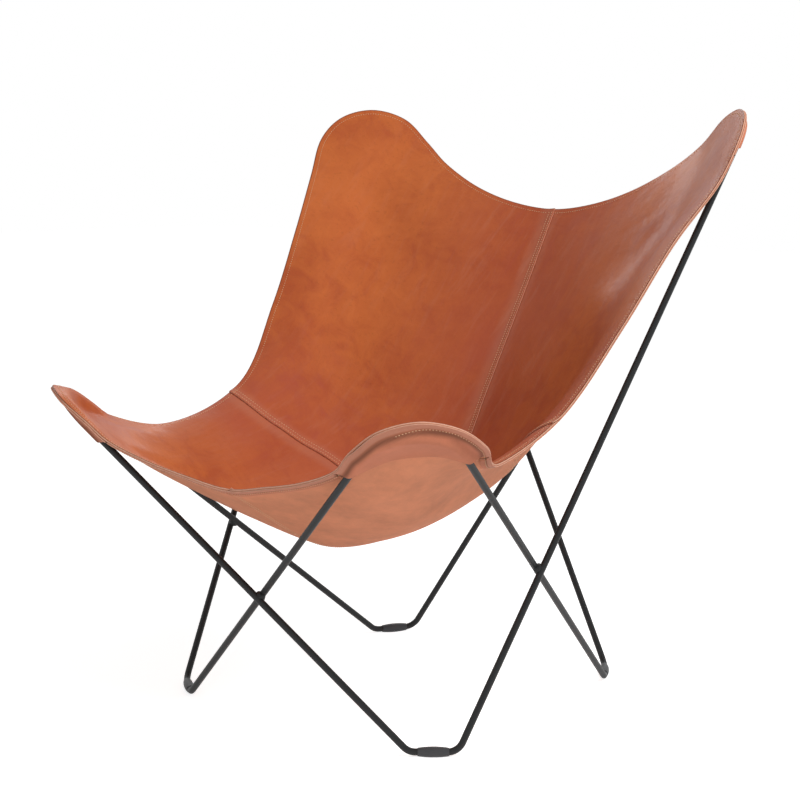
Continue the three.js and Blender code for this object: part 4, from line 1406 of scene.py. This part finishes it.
def fibrous_hide(tree, place, base, contrast):
    """The rough side of a hide: matt, short fibres, uneven colour, painted shade in a pocket's
    hollow inside the rim, paler along the rim.
    """
    clouds = add_node(tree, "ShaderNodeTexNoise", {
        "Vector": place, "Scale": per_metre(60), "Detail": 8.0, "Roughness": 0.7})
    ramp = add_node(tree, "ShaderNodeValToRGB", {"Fac": clouds.outputs["Fac"]})
    set_stops(ramp, (0.34, colour4(base, 1 - contrast)), (0.66, colour4(base, 1 + contrast)))
    # Painted shade in the hollow inside a pocket's rim.
    groove_shade = add_node(tree, "ShaderNodeAttribute", attribute_name="groove_shade")
    coloured = tinted(tree, ramp.outputs["Color"], [
        (groove_shade.outputs["Fac"], colour4(base, 0.4)),
        (nearness(tree, "rim_distance", 5.0, 8.0, 0.6), PALE_PINK),
    ])
    fibres = add_node(tree, "ShaderNodeTexNoise", {
        "Vector": place, "Scale": per_metre(2.2), "Detail": 6.0, "Roughness": 0.7})
    bump = add_node(tree, "ShaderNodeBump", {
        "Height": fibres.outputs["Fac"], "Strength": 0.3, "Distance": 0.6 * MM})
    return add_node(tree, "ShaderNodeBsdfPrincipled", {
        "Base Color": coloured, "Roughness": 0.78, "IOR": 1.4, "Normal": bump.outputs["Normal"]})


@finish("hide_flesh_side")
def flesh_side(tree, place):
    """The split, fibrous back of the same hide: paler, matt and a little pink."""
    return fibrous_hide(tree, place, leather().flesh_colour, 0.13)


@finish("hide_lining_split")
def lining_split(tree, place):
    """A thinner split of the hide for pockets and facings: rosy tan, matt, with painted shade in
    the hollow inside its rim.
    """
    return fibrous_hide(tree, place, leather().pocket_colour, 0.1)


@finish("hide_cut_edge_sanded")
def cut_edge(tree, place):
    """The sanded, undyed cut through the hide: pale, matt, with faint layers."""
    base = leather().edge_colour
    layers = add_node(tree, "ShaderNodeTexNoise", {
        "Vector": place, "Scale": per_metre(5), "Detail": 4.0, "Roughness": 0.6})
    ramp = add_node(tree, "ShaderNodeValToRGB", {"Fac": layers.outputs["Fac"]})
    set_stops(ramp, (0.3, colour4(base, 0.85)), (0.7, colour4(base, 1.1)))
    return add_node(tree, "ShaderNodeBsdfPrincipled", {
        "Base Color": ramp.outputs["Color"], "Roughness": 0.8, "IOR": 1.45})


@finish("waxed_thread")
def waxed_thread(tree, place):
    """Waxed polyester thread: warm beige with a faint twist."""
    twist = add_node(tree, "ShaderNodeTexNoise", {
        "Vector": place, "Scale": per_metre(1.2), "Detail": 2.0})
    ramp = add_node(tree, "ShaderNodeValToRGB", {"Fac": twist.outputs["Fac"]})
    set_stops(ramp, (0.0, colour4(thread().colour, 0.8)), (1.0, colour4(thread().colour, 1.15)))
    return add_node(tree, "ShaderNodeBsdfPrincipled", {
        "Base Color": ramp.outputs["Color"], "Roughness": 0.6, "IOR": 1.5})


@finish("black_powder_coat_fine_texture")
def powder_coat(tree, place):
    """Fine-textured black polyester powder coat on steel: matt, with a faint orange peel."""
    peel = add_node(tree, "ShaderNodeTexNoise", {
        "Vector": place, "Scale": per_metre(0.9), "Detail": 3.0, "Roughness": 0.6})
    clouds = add_node(tree, "ShaderNodeTexNoise", {
        "Vector": place, "Scale": per_metre(40), "Detail": 2.0})
    ramp = add_node(tree, "ShaderNodeValToRGB", {"Fac": clouds.outputs["Fac"]})
    coat = rods().coat_colour
    set_stops(ramp, (0.0, colour4(coat, 0.85)), (1.0, colour4(coat, 1.15)))
    bump = add_node(tree, "ShaderNodeBump", {
        "Height": peel.outputs["Fac"], "Strength": 0.2, "Distance": 0.1 * MM})
    return add_node(tree, "ShaderNodeBsdfPrincipled", {
        "Base Color": ramp.outputs["Color"], "Roughness": 0.5, "IOR": 1.36,
        "Normal": bump.outputs["Normal"]})


@finish("dark_polyethylene_moulded")
def glide_plastic(tree, place):
    """Dark grey moulded polyethylene: smooth and waxy, scuffed a little."""
    scuffs = add_node(tree, "ShaderNodeTexNoise", {
        "Vector": place, "Scale": per_metre(6), "Detail": 5.0, "Roughness": 0.65})
    ramp = add_node(tree, "ShaderNodeValToRGB", {"Fac": scuffs.outputs["Fac"]})
    set_stops(ramp, (0.0, colour4(glides().colour, 0.9)), (1.0, colour4(glides().colour, 1.2)))
    rough = add_node(tree, "ShaderNodeMapRange", {
        "Value": scuffs.outputs["Fac"], "To Min": 0.45, "To Max": 0.65})
    return add_node(tree, "ShaderNodeBsdfPrincipled", {
        "Base Color": ramp.outputs["Color"], "Roughness": rough.outputs["Result"], "IOR": 1.42})


# Operators

class SLING_CHAIR_OT_rod_loops(bpy.types.Operator):
    """Make the two bent rod loops"""
    bl_idname = "sling_chair.rod_loops"
    bl_label = "Rod Loops"

    def execute(self, context):
        tree = bent_rod_tree()
        for name, run in LOOPS.items():
            base = path_object(f"loop_{name}_path", [loop_path(run)], cyclic=True)
            values = {"Radius": rods().rod_diameter / 2, "Sides": rods().rod_sides,
                      "Material": powder_coat()}
            piece = run_tree(base, tree, values, f"rod_loop_{name}")
            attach(piece, "root")
            nodes = [f"loop_{name}_{where}_leg" for where in ("front", "left", "right", "back")]
            nodes += [f"loop_{name}_{where}" for where in run]
            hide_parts(*nodes)
        return {"FINISHED"}


def weld_bead(first_leg, second_leg):
    """A rippled ball of points round the place where two legs cross."""
    settings = rods()
    polar, turn = np.meshgrid(
        np.linspace(0, np.pi, BEAD_RINGS), ring_angles(BEAD_SIDES), indexing="ij")
    ripple = settings.bead_ripple / MM * np.sin(BEAD_RIPPLES * turn) * np.sin(polar) ** 2
    radius = settings.bead_radius / MM + ripple
    bisector = unit(along(*first_leg) + along(*second_leg))
    across = unit(along(*first_leg) - along(*second_leg))
    between_rods = np.cross(bisector, across)
    ball = (across * (np.sin(polar) * np.cos(turn))[..., None]
            + bisector * (np.sin(polar) * np.sin(turn))[..., None]
            + between_rods * np.cos(polar)[..., None])
    return crossing(first_leg, second_leg) + ball * radius[..., None]


class SLING_CHAIR_OT_weld_beads(bpy.types.Operator):
    """Make the weld bead at each crossing of the loops"""
    bl_idname = "sling_chair.weld_beads"
    bl_label = "Weld Beads"

    def execute(self, context):
        legs = {name: loop_legs(name) for name in LOOPS}
        faces = ring_faces(BEAD_RINGS, BEAD_SIDES)
        for where in ("front", "left", "right", "back"):
            points = weld_bead(legs["a"][where], legs["b"][where]).reshape(-1, 3)
            piece = make_piece(f"weld_bead_{where}", points, faces, [powder_coat()])
            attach(piece, "root")
            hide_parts(f"weld_{where}")
        return {"FINISHED"}


def glide_sleeve(foot):
    """Rings of points along a sleeve round a foot's level stretch, flat where it stands."""
    settings = glides()
    length = settings.length / MM
    middle_radius = settings.middle_radius / MM
    end_radius = settings.end_radius / MM
    share = np.sin(np.linspace(-np.pi / 2, np.pi / 2, GLIDE_RINGS))
    radius = middle_radius - (middle_radius - end_radius) * share ** 2
    radius[0] = radius[-1] = end_radius - GLIDE_LIP
    turn = ring_angles(GLIDE_SIDES)[:, None]
    ring = unit(np.cross(UP, foot["direction"])) * np.cos(turn) + UP * np.sin(turn)
    centres = foot["middle"] + foot["direction"] * (share * length / 2)[:, None, None]
    points = centres + ring * radius[:, None, None]
    points[..., 2] = np.maximum(points[..., 2], 0)
    return points


class SLING_CHAIR_OT_glides(bpy.types.Operator):
    """Make the glide round each foot"""
    bl_idname = "sling_chair.glides"
    bl_label = "Glides"

    def execute(self, context):
        first_ring = list(range(GLIDE_SIDES))
        last_ring = [(GLIDE_RINGS - 1) * GLIDE_SIDES + i for i in first_ring]
        faces = [*ring_faces(GLIDE_RINGS, GLIDE_SIDES).tolist(), first_ring, last_ring]
        for name, run in LOOPS.items():
            side = LOOP_FRONT_EAR_SIDES[name]
            for foot, foot_side in (("front", -side), ("rear", side)):
                points = glide_sleeve(run[f"{foot}_foot"]).reshape(-1, 3)
                where = f"{foot}_{SIDE_NAMES[foot_side]}"
                piece = make_piece(f"glide_{where}_sleeve", points, faces, [glide_plastic()])
                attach(piece, "root")
                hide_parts(f"glide_{where}")
        return {"FINISHED"}


def carrying_loop(side, where):
    """The rod loop that carries an ear of the sling."""
    front_ear_side = side if where == "front" else -side
    return {RIGHT: "rod_loop_a", LEFT: "rod_loop_b"}[front_ear_side]


class SLING_CHAIR_OT_panels(bpy.types.Operator):
    """Make the four leather panels of the sling"""
    bl_idname = "sling_chair.panels"
    bl_label = "Leather Panels"

    def execute(self, context):
        for part, side in LAYERS:
            piece = build_panel(part, side)
            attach(piece, "root")
            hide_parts(f"{part}_panel_{SIDE_NAMES[side]}")
        return {"FINISHED"}


class SLING_CHAIR_OT_ear_pockets(bpy.types.Operator):
    """Make the four pockets that slip over the ears"""
    bl_idname = "sling_chair.ear_pockets"
    bl_label = "Ear Pockets"

    def execute(self, context):
        for side in (LEFT, RIGHT):
            for where in ("back", "front"):
                piece = build_pocket(where, side)
                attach(piece, "root")
                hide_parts(f"ear_pocket_{where}_{SIDE_NAMES[side]}")
                carrying_loop(side, where)
        return {"FINISHED"}


class SLING_CHAIR_OT_edge_facings(bpy.types.Operator):
    """Make the facings under the free edges"""
    bl_idname = "sling_chair.edge_facings"
    bl_label = "Edge Facings"

    def execute(self, context):
        for side in (LEFT, RIGHT):
            for where, length in FACING_LENGTHS.items():
                piece = build_facing(where, side)
                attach(piece, "root")
                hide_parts(f"edge_facing_{where}_{SIDE_NAMES[side]}")
        return {"FINISHED"}


class SLING_CHAIR_OT_stitching(bpy.types.Operator):
    """Sew the stitch rows along the edges and the seams, through every layer"""
    bl_idname = "sling_chair.stitching"
    bl_label = "Stitching"

    def execute(self, context):
        tree = stitch_tree()
        settings = thread()
        values = {"Pitch": settings.pitch, "Length": settings.stitch_length,
                  "Thickness": settings.diameter, "Material": waxed_thread()}
        underside = surface(leather_pieces(), FLESH_FACE)
        for part, side in LAYERS:
            name = f"{part}_panel_{SIDE_NAMES[side]}"
            panel = bpy.data.objects[f"{name}_leather"]
            grain_side = surface([panel], GRAIN_FACE)
            above = [landed(row, grain_side) for row in stitch_rows(part, side)]
            below = [passed_through(*row, underside) for row in above]
            for face, rows in (("grain", above), ("flesh", below)):
                runs, ups = zip(*rows)
                base = path_object(f"{name}_{face}_paths", runs, ups=ups)
                piece = run_tree(base, tree, values, f"{name}_{face}_stitches")
                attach(piece, "root")
            where = "back" if part == "back" else "front"
            carrying_loop(side, where)
        return {"FINISHED"}


class SLING_CHAIR_OT_stage(bpy.types.Operator):
    """Set up the floor, the studio light and the camera"""
    bl_idname = "sling_chair.stage"
    bl_label = "Stage"

    def execute(self, context):
        settings = stage_settings()
        make_floor(settings)
        make_room(settings)
        soft_light("key_light", settings.key_power, **KEY_LAMP)
        soft_light("bounce_light", settings.bounce_power, **BOUNCE_LAMP)
        soft_light("sheen_card", settings.sheen_power, **SHEEN_LAMP, in_gloss=True)
        make_camera()
        return {"FINISHED"}


# Stage: floor, light and camera

def seen_rays(tree):
    """One for what the camera sees, also in gloss or through glass; zero for the room's light."""
    rays = add_node(tree, "ShaderNodeLightPath").outputs
    seen = add_node(tree, "ShaderNodeMath", {0: rays["Is Camera Ray"], 1: rays["Is Glossy Ray"]},
                    operation="MAXIMUM")
    seen = add_node(tree, "ShaderNodeMath", {0: seen.outputs[0], 1: rays["Is Transmission Ray"]},
                    operation="MAXIMUM")
    return seen.outputs[0]


def make_floor(settings):
    """The pale floor, which keeps the chair's shadow and meets the background unseen."""
    half = settings.floor_size / 2
    corners = [(-half, -half, 0), (half, -half, 0), (half, half, 0), (-half, half, 0)]
    mesh = bpy.data.meshes.new("floor")
    mesh.from_pydata(corners, [], [(0, 1, 2, 3)])
    material, tree = material_tree("pale_studio_floor")
    paint = add_node(tree, "ShaderNodeBsdfDiffuse", {"Color": FLOOR_PAINT})
    glow = add_node(tree, "ShaderNodeEmission", {
        "Color": FLOOR_GLOW, "Strength": seen_rays(tree)})
    both = add_node(tree, "ShaderNodeAddShader", {0: paint.outputs[0], 1: glow.outputs[0]})
    finish_material(tree, both)
    mesh.materials.append(material)
    add_object("floor", mesh)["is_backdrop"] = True


def make_room(settings):
    """White surroundings for the eye, and a lower, even light on the chair."""
    world = bpy.data.worlds.new("studio")
    world.use_nodes = True
    tree = world.node_tree
    tree.nodes.clear()
    level = add_node(tree, "ShaderNodeMapRange", {
        "Value": seen_rays(tree), "To Min": settings.room_level, "To Max": 1.0})
    glow = add_node(tree, "ShaderNodeBackground", {
        "Color": (1, 1, 1, 1), "Strength": level.outputs["Result"]})
    add_node(tree, "ShaderNodeOutputWorld", {"Surface": glow.outputs[0]})
    bpy.context.scene.world = world
    bpy.context.scene.view_settings.view_transform = "Standard"


def soft_light(name, power, place, size, faces, in_gloss=False):
    """A soft lamp that either lights the chair or, in_gloss, only shows as a reflection."""
    lamp = bpy.data.lights.new(name, "AREA")
    lamp.shape = "RECTANGLE"
    lamp.size, lamp.size_y = size
    lamp.energy = power
    light = add_object(name, lamp)
    light.location = place
    light.rotation_euler = (Vector(faces) - Vector(place)).to_track_quat("-Z", "Y").to_euler()
    light.visible_camera = False
    light.visible_diffuse = not in_gloss
    light.visible_glossy = in_gloss


def make_camera():
    """The camera at the photograph's viewpoint."""
    azimuth = math.radians(CAMERA_AZIMUTH)
    elevation = math.radians(CAMERA_ELEVATION)
    roll = math.radians(CAMERA_ROLL)
    level = np.array([math.cos(azimuth), math.sin(azimuth), 0.0])
    back = np.array([math.sin(azimuth) * math.cos(elevation),
                     -math.cos(azimuth) * math.cos(elevation), math.sin(elevation)])
    above = np.cross(back, level)
    right = level * math.cos(roll) + above * math.sin(roll)
    upwards = above * math.cos(roll) - level * math.sin(roll)
    place = (np.array(CAMERA_TARGET) + back * CAMERA_DISTANCE) * MM
    data = bpy.data.cameras.new("camera")
    data.lens = CAMERA_LENS
    data.sensor_width = CAMERA_SENSOR
    data.clip_end = CAMERA_REACH
    camera = add_object("camera", data)
    turn = Matrix((right, upwards, back)).transposed().to_4x4()
    camera.matrix_world = Matrix.Translation(Vector(place)) @ turn
    bpy.context.scene.camera = camera


class SLING_CHAIR_PT_sidebar(bpy.types.Panel):
    """The chair's sizes, colours and build steps"""
    bl_idname = "SLING_CHAIR_PT_sidebar"
    bl_label = "Sling Chair"
    bl_space_type = "VIEW_3D"
    bl_region_type = "UI"
    bl_category = "Sling Chair"

    def draw(self, context):
        layout = self.layout
        for operator in OPERATORS:
            layout.operator(operator.bl_idname)
        for key in SETTINGS:
            box = layout.box()
            settings = getattr(context.scene, key)
            for name in settings.__annotations__:
                box.prop(settings, name)


OPERATORS = [
    SLING_CHAIR_OT_rod_loops,
    SLING_CHAIR_OT_weld_beads,
    SLING_CHAIR_OT_glides,
    SLING_CHAIR_OT_panels,
    SLING_CHAIR_OT_ear_pockets,
    SLING_CHAIR_OT_edge_facings,
    SLING_CHAIR_OT_stitching,
    SLING_CHAIR_OT_stage,
]
SETTINGS = {
    "sling_chair_rods": RodSettings,
    "sling_chair_glides": GlideSettings,
    "sling_chair_leather": LeatherSettings,
    "sling_chair_thread": ThreadSettings,
    "sling_chair_stage": StageSettings,
}


def register():
    for group in SETTINGS.values():
        bpy.utils.register_class(group)
    for operator in OPERATORS:
        bpy.utils.register_class(operator)
    bpy.utils.register_class(SLING_CHAIR_PT_sidebar)
    for key, group in SETTINGS.items():
        setattr(bpy.types.Scene, key, PointerProperty(type=group))


def unregister():
    for key in SETTINGS:
        delattr(bpy.types.Scene, key)
    bpy.utils.unregister_class(SLING_CHAIR_PT_sidebar)
    for operator in reversed(OPERATORS):
        bpy.utils.unregister_class(operator)
    for group in reversed(SETTINGS.values()):
        bpy.utils.unregister_class(group)


def main():
    register()
    for operator in OPERATORS:
        group, action = operator.bl_idname.split(".")
        getattr(getattr(bpy.ops, group), action)()
    boxes = {"cad": CAD_BOX, "visual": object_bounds()}
    {key: [list(map(float, corner)) for corner in box] for key, box in boxes.items()}


if __name__ == "__main__":
    main()
